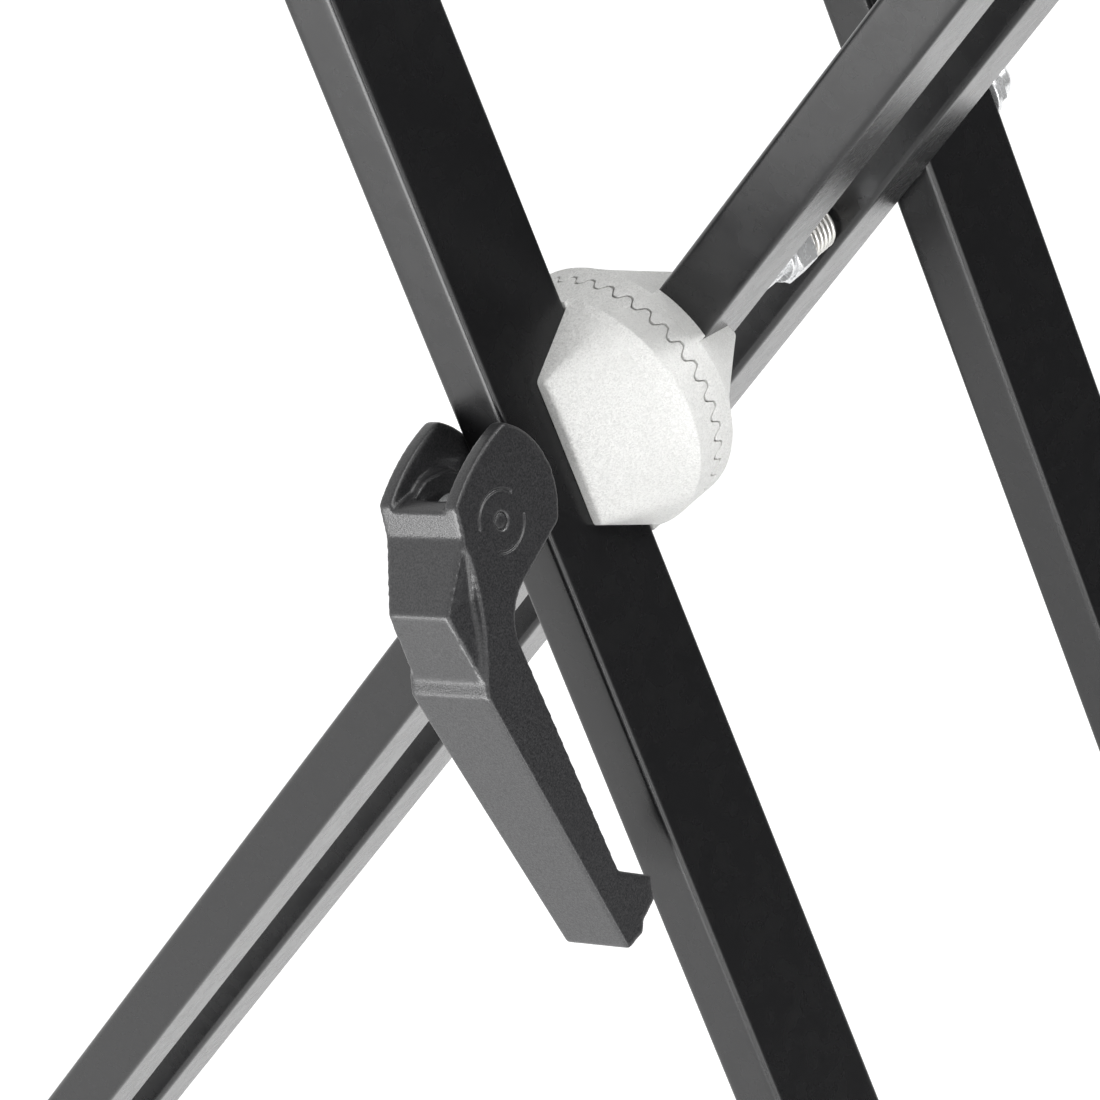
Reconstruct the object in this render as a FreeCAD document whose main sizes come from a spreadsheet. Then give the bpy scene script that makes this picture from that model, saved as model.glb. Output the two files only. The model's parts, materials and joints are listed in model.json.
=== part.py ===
"""X-frame keyboard stand with a toothed clutch and a cam lever.

Millimetres, +Z up. X runs across the crossed legs, Y runs from the lever's side to the
back, and the origin lies on the floor under the middle of the stand.

The two outer legs lean one way and the two inner legs lean the other way. One long axle
crosses all four. Two toothed clutch castings sit between the front outer leg and the front
inner leg, and the cam lever on the front of the axle squeezes them together.
"""
import FreeCAD, Part
import math
import os

import Sketcher
from FreeCAD import Vector

# Driving dimensions: name, value in millimetres, degrees or pieces, and what it sets.
SIZES = [
    ("foot_reach", 660, "from the axle down a leg to the middle of the foot bar"),
    ("arm_reach", 390, "from the axle up a leg to the middle of the support arm"),
    ("leg_lean_angle", 27.08, "degrees that each leg leans from upright"),
    ("leg_width", 15, "leg tube across the lean"),
    ("leg_depth", 30, "leg tube along the axle"),
    ("leg_wall", 1.2, "leg tube wall"),
    ("leg_corner", 1.7, "leg tube outer corner radius"),
    ("inner_leg_gap", 44, "between the two inner legs"),
    ("rear_leg_gap", 4.1, "between the rear inner leg and the rear outer leg"),
    ("bar_radius", 12.5, "foot bar tube"),
    ("outer_bar_length", 340, "foot bar of the outer legs"),
    ("inner_bar_length", 217, "foot bar of the inner legs"),
    ("arm_radius", 11, "support arm tube"),
    ("arm_length", 320, "support arm"),
    ("round_wall", 1.2, "wall of foot bars and support arms"),
    ("foot_radius", 16, "rubber foot cap"),
    ("foot_length", 24, "rubber foot cap along the bar"),
    ("foot_end", 3.5, "closed end of a foot cap"),
    ("foot_tread", 1.8, "depth of the flat tread under a foot cap"),
    ("foot_edge", 1.8, "chamfer round the end of a foot cap"),
    ("foot_groove", 0.9, "depth of a foot cap's grip grooves"),
    ("foot_groove_width", 3, "mouth of a grip groove"),
    ("foot_groove_count", 3, "grip grooves round a foot cap"),
    ("sleeve_radius", 15, "foam sleeve on a support arm"),
    ("sleeve_gap", 2, "between a leg and its foam sleeve"),
    ("stop_radius", 20, "end stop of a support arm"),
    ("stop_thickness", 6, "flange of an end stop"),
    ("stop_edge", 1.5, "chamfer round an end stop's flange"),
    ("stop_plug", 18, "plug of an end stop inside the arm"),
    ("clutch_radius", 30.4, "clutch casting"),
    ("clutch_depth", 16.9, "both clutch castings closed, leg face to leg face"),
    ("clutch_rim_inset", 2.25, "leg face to the front edge of the clutch rim"),
    ("clutch_pad_reach", 28.5, "pad behind the leg, along the leg"),
    ("clutch_tooth_plane", 9.15, "front outer leg to the middle of the teeth"),
    ("clutch_recess_radius", 21.5, "hollow inside the ring of teeth"),
    ("clutch_recess_depth", 1.9, "hollow inside the ring of teeth"),
    ("tooth_count", 36, "teeth on each clutch casting"),
    ("tooth_height", 2.4, "tooth root to tip"),
    ("tooth_gap", 0.15, "between the teeth of the closed clutch"),
    ("cheek_height", 16.5, "clutch walls beside the leg, above the leg face"),
    ("cheek_wall", 3, "clutch wall thickness at its top edge"),
    ("cheek_half_length", 18.4, "half the top edge of a clutch wall"),
    ("shoulder_reach", 24.8, "axle to the shoulder of the clutch hump"),
    ("shoulder_corner_reach", 16, "across the leg, at the hump's shoulder corner"),
    ("shoulder_corner_length", 24.2, "along the leg, at the hump's shoulder corner"),
    ("shoulder_foot_length", 27.8, "along the leg, where the shoulder meets the leg"),
    ("rim_corner_length", 25.2, "along the leg, at the hump's corner on the rim"),
    ("axle_radius", 4, "axle"),
    ("axle_play", 0.07, "running clearance round the axle"),
    ("release_travel", 2.7, "axle and inner legs move back when the lever opens"),
    ("eye_radius", 6, "eye on the front end of the axle"),
    ("eye_thickness", 7, "flattened eye across the leg"),
    ("shank_overlap", 1.8, "how far the axle's shank runs into the eye"),
    ("pin_radius", 1.9, "lever pin"),
    ("pin_inset", 0.3, "pin end below the lever's side"),
    ("pin_height", 15, "lever pin in front of the leg"),
    ("pin_play", 0.05, "running clearance between pin and eye"),
    ("seat_thickness", 2.2, "cam seat on the front of the leg"),
    ("seat_length", 15, "cam seat along the leg"),
    ("cam_gap", 0.12, "between the closed cam and its seat"),
    ("cam_swing_angle", 90, "degrees that the lever swings to release"),
    ("spacer_radius", 5.2, "tube between the front inner leg and the axle nut"),
    ("nut_flats", 13, "axle nut across flats"),
    ("nut_thickness", 6.8, "axle nut"),
    ("washer_radius", 8, "axle washer"),
    ("washer_thickness", 1.6, "axle washer"),
    ("spring_radius", 6.1, "outside of the release spring"),
    ("spring_wire_radius", 0.6, "release spring wire"),
    ("spring_length", 10.1, "nut to the rear inner leg"),
    ("spring_turns", 5.75, "turns of the release spring"),
    ("spring_end_cut", 0.6, "ground off the wire at both ends of the spring"),
    ("thrust_radius", 10, "thrust washer on the rear outer leg"),
    ("thrust_thickness", 1.2, "thrust washer"),
    ("rear_washer_gap", 0.3, "rear outer leg to the rear washer"),
    ("rear_nut_thickness", 5.3, "hexagon of the domed rear nut"),
    ("rear_nut_dome", 5.4, "radius of the rear nut's dome"),
    ("lever_half_width", 12.2, "lever head, middle to side"),
    ("lever_tip_half_width", 9.8, "lever tip, middle to side"),
    ("lever_side_play", 0.6, "leg side to lever cheek"),
    ("lever_slot_half_width", 5.7, "slot between the cams"),
    ("lever_slot_front", 21.3, "how far out the slot between the cams starts"),
    ("lever_ledge_down", -8.7, "ledge behind the lever's top edge"),
    ("lever_wall", 2.4, "front and side walls of the hollow handle"),
    ("lever_cheek_arc", 19.5, "radius of the cheeks' rounded back"),
    ("lever_neck_arc", 12.8, "radius of the hollow neck under the cheeks"),
    ("hump_peak_half_width", 9.4, "hump on the lever's front, at its peak"),
    ("hump_valley_out", 29.3, "hollow beside the hump, how far out it starts at the peak"),
    ("hump_end_half_width", 10.9, "floor of the hollow beside the hump, at its lower end"),
    ("hump_valley_half_width", 9.6, "floor of the hollow beside the hump, behind the peak"),
    ("overrun", 1, "how far a cut runs past the solid"),
]

# Side outline of the lever, measured from the point where the axle leaves the leg: how far
# down along the leg and how far out in front of it.
LEVER_OUTLINE = [
    ("lever_top_front", -9.8, 25.7),
    ("lever_brow", -2.6, 27.2),
    ("lever_peak", 11.4, 37.7),
    ("lever_hump_end", 28.4, 36.6),
    ("lever_step", 31.9, 38),
    ("lever_tip_front", 106.2, 26.3),
    ("lever_tip_back", 105.4, 20.2),
    ("lever_tip_notch", 103.2, 18.9),
    ("lever_hook_end", 100.8, 13.5),
    ("lever_hook_start", 95.4, 12),
    ("lever_hook_root", 88.5, 20.5),
    ("lever_neck_end", 28.5, 23.3),
    ("lever_neck_start", 14.7, 14),
    ("lever_cheek_end", 9.3, -0.3),
    ("lever_cheek_start", -18.5, 3.8),
]


class Dim:
    """A size that carries both its value and its expression in the sheet."""

    def __init__(self, text, value):
        self.text = text
        self.value = value

    def __add__(self, other):
        other = dim(other)
        return Dim("(%s + %s)" % (self.text, other.text), self.value + other.value)

    def __sub__(self, other):
        other = dim(other)
        return Dim("(%s - %s)" % (self.text, other.text), self.value - other.value)

    def __mul__(self, other):
        other = dim(other)
        return Dim("(%s * %s)" % (self.text, other.text), self.value * other.value)

    def __truediv__(self, other):
        other = dim(other)
        return Dim("(%s / %s)" % (self.text, other.text), self.value / other.value)

    def __neg__(self):
        return Dim("(0 - %s)" % self.text, -self.value)


def dim(value):
    return value if isinstance(value, Dim) else Dim(repr(float(value)), float(value))


def cosine(angle):
    return Dim("cos(%s)" % angle.text, math.cos(math.radians(angle.value)))


def sine(angle):
    return Dim("sin(%s)" % angle.text, math.sin(math.radians(angle.value)))


doc = FreeCAD.newDocument("keyboard_stand")
sheet = doc.addObject("Spreadsheet::Sheet", "sizes")


def fill_sheet():
    """Write every driving dimension to the sheet and return them by name."""
    rows = [(name, value, note) for name, value, note in SIZES]
    for name, down, out in LEVER_OUTLINE:
        rows.append((name + "_down", down, "lever outline, down along the leg"))
        rows.append((name + "_out", out, "lever outline, out from the leg"))
    found = {}
    for number, (name, value, note) in enumerate(rows, start=1):
        sheet.set("A%d" % number, name)
        sheet.set("B%d" % number, str(value))
        sheet.set("C%d" % number, note)
        sheet.setAlias("B%d" % number, name)
        found[name] = Dim("sizes." + name, float(value))
    return found


size = fill_sheet()
doc.recompute()
NONE = dim(0)
QUARTER_TURN = dim(90)
nodes = []


def bind(thing, path, value):
    thing.setExpression(path, dim(value).text)


def place(thing, x=NONE, y=NONE, z=NONE, axis=None, angle=NONE):
    """Put a thing at x, y, z, turned about an axis, all bound to the sheet."""
    x, y, z, angle = dim(x), dim(y), dim(z), dim(angle)
    turn = FreeCAD.Rotation(axis or Vector(0, 1, 0), angle.value)
    thing.Placement = FreeCAD.Placement(Vector(x.value, y.value, z.value), turn)
    for letter, value in zip("xyz", (x, y, z)):
        bind(thing, "Placement.Base." + letter, value)
    if axis is not None:
        bind(thing, "Placement.Rotation.Angle", angle)
    return thing


LEAN_LEFT = Vector(0, -1, 0)
LEAN_RIGHT = Vector(0, 1, 0)
foot_height = size["foot_radius"] - size["foot_tread"]
pivot_height = size["foot_reach"] * cosine(size["leg_lean_angle"]) + foot_height
foot_offset = size["foot_reach"] * sine(size["leg_lean_angle"])
arm_offset = size["arm_reach"] * sine(size["leg_lean_angle"])

# Where each layer of the stand begins along the axle, from the front.
stack_depth = size["leg_depth"] * 4 + size["clutch_depth"] + size["inner_leg_gap"] + size["rear_leg_gap"]
outer_front_y = -(stack_depth / 2)
clutch_y = outer_front_y + size["leg_depth"]
inner_front_y = clutch_y + size["clutch_depth"]
inner_front_back_y = inner_front_y + size["leg_depth"]
inner_rear_y = inner_front_back_y + size["inner_leg_gap"]
inner_rear_back_y = inner_rear_y + size["leg_depth"]
outer_rear_y = inner_rear_back_y + size["rear_leg_gap"]
outer_rear_back_y = outer_rear_y + size["leg_depth"]
bore_radius = size["axle_radius"] + size["axle_play"]


def named(thing, label):
    """Give a finished sub-part its label, which names its file."""
    thing.Label = label
    nodes.append(thing)
    return thing


def origin_plane(body, role):
    return next(plane for plane in body.Origin.OriginFeatures if plane.Role == role)


def new_sketch(body, role, name):
    sketch = body.newObject("Sketcher::SketchObject", name)
    sketch.AttachmentSupport = [(origin_plane(body, role), "")]
    sketch.MapMode = "FlatFace"
    return sketch


def pin_point(sketch, edge, end, x, y):
    """Fix one end of an edge at x, y, bound to the sheet."""
    for kind, value in (("DistanceX", x), ("DistanceY", y)):
        value = dim(value)
        number = sketch.addConstraint(Sketcher.Constraint(kind, -1, 1, edge, end, value.value))
        sketch.setExpression("Constraints[%d]" % number, value.text)


def arc_between(start, end, radius):
    """Arc from start to end: a positive radius bulges right of that way, a negative one left.

    Also says whether the arc's own first end, found counter-clockwise, is the start.
    """
    chord = end - start
    half = chord.Length / 2
    reach = abs(radius)
    side = Vector(chord.y, -chord.x, 0).normalize() * math.copysign(1, radius)
    centre = (start + end) * 0.5 - side * math.sqrt(reach * reach - half * half)
    first, last = (start, end) if radius > 0 else (end, start)
    angles = [math.atan2(point.y - centre.y, point.x - centre.x) for point in (first, last)]
    circle = Part.Circle(centre, Vector(0, 0, 1), reach)
    return Part.ArcOfCircle(circle, angles[0], angles[1]), radius > 0


def draw_outline(sketch, points):
    """Closed outline through points (x, y, radius); a radius makes the next edge an arc."""
    places = [Vector(dim(x).value, dim(y).value, 0) for x, y, radius in points]
    edges = []
    ends = []
    for number, (x, y, radius) in enumerate(points):
        start = places[number]
        end = places[(number + 1) % len(places)]
        if radius is None:
            edges.append(sketch.addGeometry(Part.LineSegment(start, end), False))
            ends.append((1, 2))
            continue
        arc, forward = arc_between(start, end, dim(radius).value)
        edges.append(sketch.addGeometry(arc, False))
        ends.append((1, 2) if forward else (2, 1))
    for number, edge in enumerate(edges):
        x, y, radius = points[number]
        pin_point(sketch, edge, ends[number][0], x, y)
        following = (number + 1) % len(edges)
        sketch.addConstraint(Sketcher.Constraint(
            "Coincident", edge, ends[number][1], edges[following], ends[following][0]))
        if radius is not None:
            value = dim(radius)
            number = sketch.addConstraint(Sketcher.Constraint("Radius", edge, abs(value.value)))
            sketch.setExpression("Constraints[%d]" % number, "abs(%s)" % value.text)


def draw_circle(sketch, x, y, radius):
    x, y, radius = dim(x), dim(y), dim(radius)
    centre = Vector(x.value, y.value, 0)
    edge = sketch.addGeometry(Part.Circle(centre, Vector(0, 0, 1), radius.value), False)
    pin_point(sketch, edge, 3, x, y)
    number = sketch.addConstraint(Sketcher.Constraint("Radius", edge, radius.value))
    sketch.setExpression("Constraints[%d]" % number, radius.text)


def rounded_rectangle(width, height, corner):
    """Points of a rectangle about the origin with round corners, for draw_outline."""
    across, up = width / 2, height / 2
    inner_across, inner_up = across - corner, up - corner
    return [
        (across, -inner_up, None), (across, inner_up, corner),
        (inner_across, up, None), (-inner_across, up, corner),
        (-across, inner_up, None), (-across, -inner_up, corner),
        (-inner_across, -up, None), (inner_across, -up, corner),
    ]


def pad(body, sketch, length, sides="Symmetric"):
    """Pad a sketch, evenly to both sides of its plane unless told otherwise."""
    feature = body.newObject("PartDesign::Pad", sketch.Name + "_pad")
    feature.Profile = sketch
    feature.SideType = sides
    bind(feature, "Length", length)
    sketch.Visibility = False
    return feature


def pocket(body, sketch, length):
    """Cut a sketch evenly to both sides of its plane, and make sure that it cuts."""
    doc.recompute()
    before = body.Shape.Volume
    feature = body.newObject("PartDesign::Pocket", sketch.Name + "_pocket")
    feature.Profile = sketch
    feature.SideType = "Symmetric"
    bind(feature, "Length", length)
    doc.recompute()
    if not body.Shape.Volume < before:
        raise RuntimeError(sketch.Name + " cuts nothing")
    return feature


def turned(name, profile, x, y, z):
    """Body turned about a line along Y: profile points are (along Y, radius)."""
    body = doc.addObject("PartDesign::Body", name)
    sketch = new_sketch(body, "YZ_Plane", name + "_profile")
    draw_outline(sketch, [(along, radius, None) for along, radius in profile])
    feature = body.newObject("PartDesign::Revolution", name + "_turned")
    feature.Profile = sketch
    feature.ReferenceAxis = (sketch, ["H_Axis"])
    feature.Angle = 360
    return place(body, x, y, z)


def ring(name, inner, outer, length, x, y, z):
    """Plain ring or tube along Y."""
    profile = [(0, inner), (length, inner), (length, outer), (0, outer)]
    return turned(name, profile, x, y, z)


def combined(kind, name, parts):
    """Part::MultiFuse or Part::MultiCommon of parts."""
    thing = doc.addObject(kind, name)
    thing.Shapes = parts
    return thing


def cut_away(name, base, tool):
    thing = doc.addObject("Part::Cut", name)
    thing.Base = base
    thing.Tool = tool
    return thing


# Legs: rectangular tube, coped onto the foot bar and the support arm, bored for the axle.
def make_leg(label, front_y, lean):
    body = doc.addObject("PartDesign::Body", label)
    section = new_sketch(body, "XY_Plane", label + "_section")
    draw_outline(section, rounded_rectangle(size["leg_width"], size["leg_depth"], size["leg_corner"]))
    draw_outline(section, rounded_rectangle(
        size["leg_width"] - size["leg_wall"] * 2, size["leg_depth"] - size["leg_wall"] * 2,
        size["leg_corner"] - size["leg_wall"]))
    bind(section, "AttachmentOffset.Base.z", -size["foot_reach"])
    pad(body, section, size["foot_reach"] + size["arm_reach"], "One side")
    holes = new_sketch(body, "XZ_Plane", label + "_holes")
    draw_circle(holes, 0, size["arm_reach"], size["arm_radius"])
    draw_circle(holes, 0, -size["foot_reach"], size["bar_radius"])
    draw_circle(holes, 0, 0, bore_radius)
    pocket(body, holes, size["leg_depth"] + size["overrun"] * 2)
    place(body, 0, front_y + size["leg_depth"] / 2, pivot_height, lean, size["leg_lean_angle"])
    return named(body, label)


make_leg("outer_leg_front", outer_front_y, LEAN_LEFT)
make_leg("outer_leg_rear", outer_rear_y, LEAN_LEFT)
make_leg("inner_leg_front", inner_front_y, LEAN_RIGHT)
make_leg("inner_leg_rear", inner_rear_y, LEAN_RIGHT)


# Foot bars with their rubber caps, which stand on flat treads.
def make_foot(frame, side, length):
    x = foot_offset * side
    z = foot_height
    named(ring(frame + "_bar_tube", size["bar_radius"] - size["round_wall"], size["bar_radius"],
               length, x, -(length / 2), z), frame + "_foot_bar")
    depth = size["foot_length"] - size["foot_end"]
    outside = size["foot_radius"]
    profile = [(0, size["bar_radius"]), (depth, size["bar_radius"]), (depth, 0),
               (size["foot_length"], 0), (size["foot_length"], outside - size["foot_edge"]),
               (size["foot_length"] - size["foot_edge"], outside)]
    grooves = int(size["foot_groove_count"].value)
    slant = size["foot_groove_width"] / 4
    pitch = size["foot_length"] / (size["foot_groove_count"] + 1)
    for number in range(grooves, 0, -1):
        start = pitch * number - size["foot_groove_width"] / 2
        end = start + size["foot_groove_width"]
        profile += [(end, outside), (end - slant, outside - size["foot_groove"]),
                    (start + slant, outside - size["foot_groove"]), (start, outside)]
    profile.append((0, outside))
    for end, facing in (("front", -1), ("rear", 1)):
        label = "%s_foot_cap_%s" % (frame, end)
        cap = turned(label + "_turning", profile, 0, 0, 0)
        below = doc.addObject("Part::Box", label + "_below")
        bind(below, "Length", outside * 2)
        bind(below, "Width", size["foot_length"] + size["overrun"] * 2)
        bind(below, "Height", outside)
        place(below, -outside, -size["overrun"], -(foot_height + outside))
        cut = cut_away(label + "_cut", cap, below)
        turn = NONE if facing > 0 else QUARTER_TURN * 2
        place(cut, x, (length / 2 - depth) * facing, z, Vector(0, 0, 1), turn)
        named(cut, label)


make_foot("outer", 1, size["outer_bar_length"])
make_foot("inner", -1, size["inner_bar_length"])


# Support arms with foam sleeves outside the legs and an end stop at each end.
def make_arm(frame, side, front_face_y, rear_face_y):
    x = arm_offset * side
    z = pivot_height + size["arm_reach"] * cosine(size["leg_lean_angle"])
    half = size["arm_length"] / 2
    hollow = size["arm_radius"] - size["round_wall"]
    named(ring(frame + "_arm_tube", hollow, size["arm_radius"], size["arm_length"], x, -half, z),
          frame + "_support_arm")
    front = front_face_y - size["sleeve_gap"]
    named(ring(frame + "_foam_front", size["arm_radius"], size["sleeve_radius"],
               front + half, x, -half, z), frame + "_arm_sleeve_front")
    rear = rear_face_y + size["sleeve_gap"]
    named(ring(frame + "_foam_rear", size["arm_radius"], size["sleeve_radius"],
               half - rear, x, rear, z), frame + "_arm_sleeve_rear")
    edge = size["stop_edge"]
    profile = [(-size["stop_plug"], 0), (size["stop_thickness"], 0),
               (size["stop_thickness"], size["stop_radius"] - edge),
               (size["stop_thickness"] - edge, size["stop_radius"]),
               (edge, size["stop_radius"]), (0, size["stop_radius"] - edge),
               (0, hollow), (-size["stop_plug"], hollow)]
    for end, facing in (("front", -1), ("rear", 1)):
        label = "%s_arm_stop_%s" % (frame, end)
        stop = turned(label, profile, 0, 0, 0)
        turn = NONE if facing > 0 else QUARTER_TURN * 2
        place(stop, x, half * facing, z, Vector(0, 0, 1), turn)
        named(stop, label)


make_arm("outer", -1, outer_front_y, outer_rear_back_y)
make_arm("inner", 1, inner_front_y, inner_rear_back_y)


# Clutch castings: two alike but for their depth, toothed face to toothed face.
def value(name):
    return sheet.get(name)


def hump(side):
    """Walls that grip the leg, falling from their top edge to the rim.

    Three sections are joined: the top edge, the shoulder and the rim's front edge. Here the
    leg lies along Z, X runs across it and Y points from the leg to the teeth.
    """
    leg_side = value("leg_width") / 2
    rim = value("clutch_radius")

    def section(y, foot_length, corner_reach, corner_length, middle_reach, on_rim):
        corners = [Vector(side * leg_side, y, -foot_length), Vector(side * leg_side, y, foot_length),
                   Vector(side * corner_reach, y, corner_length),
                   Vector(side * corner_reach, y, -corner_length)]
        edges = [Part.LineSegment(corners[0], corners[1]).toShape()]
        for start, end in ((corners[1], corners[2]), (corners[3], corners[0])):
            if on_rim:
                middle = (start + end) * 0.5
                lift = rim / math.hypot(middle.x, middle.z)
                middle = Vector(middle.x * lift, y, middle.z * lift)
                edges.append(Part.Arc(start, middle, end).toShape())
            else:
                edges.append(Part.LineSegment(start, end).toShape())
        if middle_reach > corner_reach:
            across = Part.Arc(corners[2], Vector(side * middle_reach, y, 0), corners[3])
        else:
            across = Part.LineSegment(corners[2], corners[3])
        edges.insert(2, across.toShape())
        return Part.Wire(edges)

    top_reach = leg_side + value("cheek_wall")
    rim_corner = value("rim_corner_length")
    rim_foot = math.sqrt(rim * rim - leg_side * leg_side)
    rim_reach = math.sqrt(rim * rim - rim_corner * rim_corner)
    sections = [
        section(-value("cheek_height"), value("cheek_half_length"), top_reach,
                value("cheek_half_length"), top_reach, False),
        section(0, value("shoulder_foot_length"), value("shoulder_corner_reach"),
                value("shoulder_corner_length"), value("shoulder_reach"), False),
        section(value("clutch_rim_inset"), rim_foot, rim_reach, rim_corner, rim, True),
    ]
    return Part.makeLoft(sections, True, True)


# Half the width of a tooth at its root and at its tip, as shares of the pitch.
ROOT_SHARE, TIP_SHARE = 3 / 8, 1 / 8


def tooth_ring(tooth_plane):
    """Teeth that taper towards the axle, so that two of these rings mesh all round."""
    count = int(value("tooth_count"))
    pitch = 2 * math.pi / count
    middle = tooth_plane - value("tooth_gap") / 2
    root = middle - value("tooth_height") / 2
    tip = middle + value("tooth_height") / 2
    inner = value("clutch_recess_radius")
    outer = value("clutch_radius") + value("overrun")
    first = -math.radians(value("leg_lean_angle")) + pitch / 4
    teeth = []
    for number in range(count):
        wires = []
        for radius in (inner, outer):
            half_root = radius * math.tan(pitch * ROOT_SHARE)
            half_tip = radius * math.tan(pitch * TIP_SHARE)
            below = root - value("overrun")
            corners = [Vector(radius, below, -half_root), Vector(radius, below, half_root),
                       Vector(radius, root, half_root), Vector(radius, tip, half_tip),
                       Vector(radius, tip, -half_tip), Vector(radius, root, -half_root)]
            wires.append(Part.makePolygon(corners + corners[:1]))
        tooth = Part.makeLoft(wires, True, True)
        tooth.rotate(Vector(0, 0, 0), Vector(0, -1, 0), math.degrees(first + number * pitch))
        teeth.append(tooth)
    rim = Part.makeCylinder(value("clutch_radius"), value("clutch_depth"), Vector(0, 0, 0),
                            Vector(0, 1, 0))
    return [tooth.common(rim) for tooth in teeth]


def casting_shape(tooth_plane):
    along = Vector(0, 1, 0)
    root = tooth_plane - value("tooth_gap") / 2 - value("tooth_height") / 2
    inset = value("clutch_rim_inset")
    rim = Part.makeCylinder(value("clutch_radius"), root - inset, Vector(0, inset, 0), along)
    disc = Part.makeCylinder(value("clutch_pad_reach"), root, Vector(0, 0, 0), along)
    width = value("leg_width")
    strip = Part.makeBox(width, root, value("clutch_radius") * 2,
                         Vector(-width / 2, 0, -value("clutch_radius")))
    whole = rim.fuse([disc.common(strip), hump(1), hump(-1)] + tooth_ring(tooth_plane))
    recess_floor = root - value("clutch_recess_depth")
    recess = Part.makeCylinder(value("clutch_recess_radius"), value("clutch_depth"),
                               Vector(0, recess_floor, 0), along)
    bore = Part.makeCylinder(value("axle_radius") + value("axle_play"), value("clutch_depth") * 2,
                             Vector(0, -value("clutch_depth"), 0), along)
    return whole.cut([recess, bore]).removeSplitter()


def make_clutch_half(label, y, lean, turn, tooth_plane):
    casting = doc.addObject("Part::Feature", label)
    casting.Shape = casting_shape(tooth_plane)
    leaning = FreeCAD.Rotation(lean, value("leg_lean_angle"))
    facing = FreeCAD.Rotation(Vector(0, 0, 1), turn)
    casting.Placement = FreeCAD.Placement(Vector(0, y.value, pivot_height.value), leaning * facing)
    return named(casting, label)


make_clutch_half("clutch_half_front", clutch_y, LEAN_LEFT, 0, value("clutch_tooth_plane"))
make_clutch_half("clutch_half_rear", inner_front_y, LEAN_RIGHT, QUARTER_TURN.value * 2,
                 value("clutch_depth") - value("clutch_tooth_plane"))

# Axle line: eye bolt, cam seat, spacer, nut, spring, washers and domed nut, front to rear.
eye_y = outer_front_y - size["pin_height"]
nut_y = inner_rear_y - size["spring_length"] - size["nut_thickness"]
washer_y = nut_y - size["washer_thickness"]
rear_washer_y = outer_rear_back_y + size["rear_washer_gap"]
rear_nut_y = rear_washer_y + size["washer_thickness"]
axle_end_y = rear_nut_y + size["rear_nut_thickness"]


def along_y(thing, x, y, z):
    """Turn a primitive's own Z axis to +Y and place it."""
    return place(thing, x, y, z, Vector(-1, 0, 0), QUARTER_TURN)


def cylinder_y(name, radius, length, x, y, z):
    thing = doc.addObject("Part::Cylinder", name)
    bind(thing, "Radius", radius)
    bind(thing, "Height", length)
    return along_y(thing, x, y, z)


def across_leg(name, radius, length, y, z):
    """Cylinder across the leg, in the lever's frame, centred on the leg's middle."""
    thing = doc.addObject("Part::Cylinder", name)
    bind(thing, "Radius", radius)
    bind(thing, "Height", length)
    return place(thing, -(length / 2), y, z, Vector(0, 1, 0), QUARTER_TURN)


def make_axle():
    eye = across_leg("axle_eye", size["eye_radius"], size["eye_thickness"], -size["pin_height"], 0)
    shank_start = -(size["pin_height"] - size["eye_radius"] + size["shank_overlap"])
    shank_length = axle_end_y - outer_front_y - shank_start
    shank = cylinder_y("axle_shank", size["axle_radius"], shank_length, 0, shank_start, 0)
    solid = combined("Part::MultiFuse", "axle_solid", [eye, shank])
    hole = across_leg("axle_eye_hole", size["pin_radius"] + size["pin_play"],
                      size["eye_thickness"] + size["overrun"] * 2, -size["pin_height"], 0)
    axle = cut_away("clutch_axle", solid, hole)
    place(axle, 0, outer_front_y, pivot_height, LEAN_LEFT, size["leg_lean_angle"])
    return named(axle, "clutch_axle")


def make_cam_seat():
    block = doc.addObject("Part::Box", "cam_seat_block")
    bind(block, "Length", size["leg_width"])
    bind(block, "Width", size["seat_thickness"])
    bind(block, "Height", size["seat_length"])
    place(block, -(size["leg_width"] / 2), -size["seat_thickness"], -(size["seat_length"] / 2))
    bore = cylinder_y("cam_seat_bore", bore_radius, size["seat_thickness"] + size["overrun"] * 2,
                      0, -(size["seat_thickness"] + size["overrun"]), 0)
    seat = cut_away("cam_seat", block, bore)
    place(seat, 0, outer_front_y, pivot_height, LEAN_LEFT, size["leg_lean_angle"])
    return named(seat, "cam_seat")


def make_hexagon(name, thickness, y):
    """Hexagon along Y with the corners of both ends turned off."""
    flat = size["nut_flats"] / 2
    corner = flat / cosine(QUARTER_TURN * 2 / 6)
    prism = doc.addObject("Part::Prism", name + "_prism")
    prism.Polygon = 6
    bind(prism, "Circumradius", corner)
    bind(prism, "Height", thickness)
    along_y(prism, 0, 0, 0)
    edge = corner - flat
    turning = turned(name + "_turning", [(0, 0), (thickness, 0), (thickness, flat),
                                         (thickness - edge, corner), (edge, corner), (0, flat)], 0, 0, 0)
    blank = combined("Part::MultiCommon", name + "_blank", [prism, turning])
    return place(blank, 0, y, pivot_height)


make_axle()
make_cam_seat()
named(ring("spacer", bore_radius, size["spacer_radius"], washer_y - inner_front_back_y,
           0, inner_front_back_y, pivot_height), "axle_spacer")
named(ring("front_washer", size["axle_radius"], size["washer_radius"], size["washer_thickness"],
           0, washer_y, pivot_height), "axle_washer")
nut_blank = make_hexagon("axle_nut", size["nut_thickness"], nut_y)
nut_thread = cylinder_y("axle_nut_thread", size["axle_radius"], size["nut_thickness"] + size["overrun"] * 2,
                        0, nut_y - size["overrun"], pivot_height)
named(cut_away("axle_nut_cut", nut_blank, nut_thread), "axle_nut")
named(ring("thrust_ring", bore_radius, size["thrust_radius"], size["thrust_thickness"],
           0, outer_rear_y - size["thrust_thickness"], pivot_height), "thrust_washer")
named(ring("back_washer", size["axle_radius"], size["washer_radius"], size["washer_thickness"],
           0, rear_washer_y, pivot_height), "rear_washer")

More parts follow.
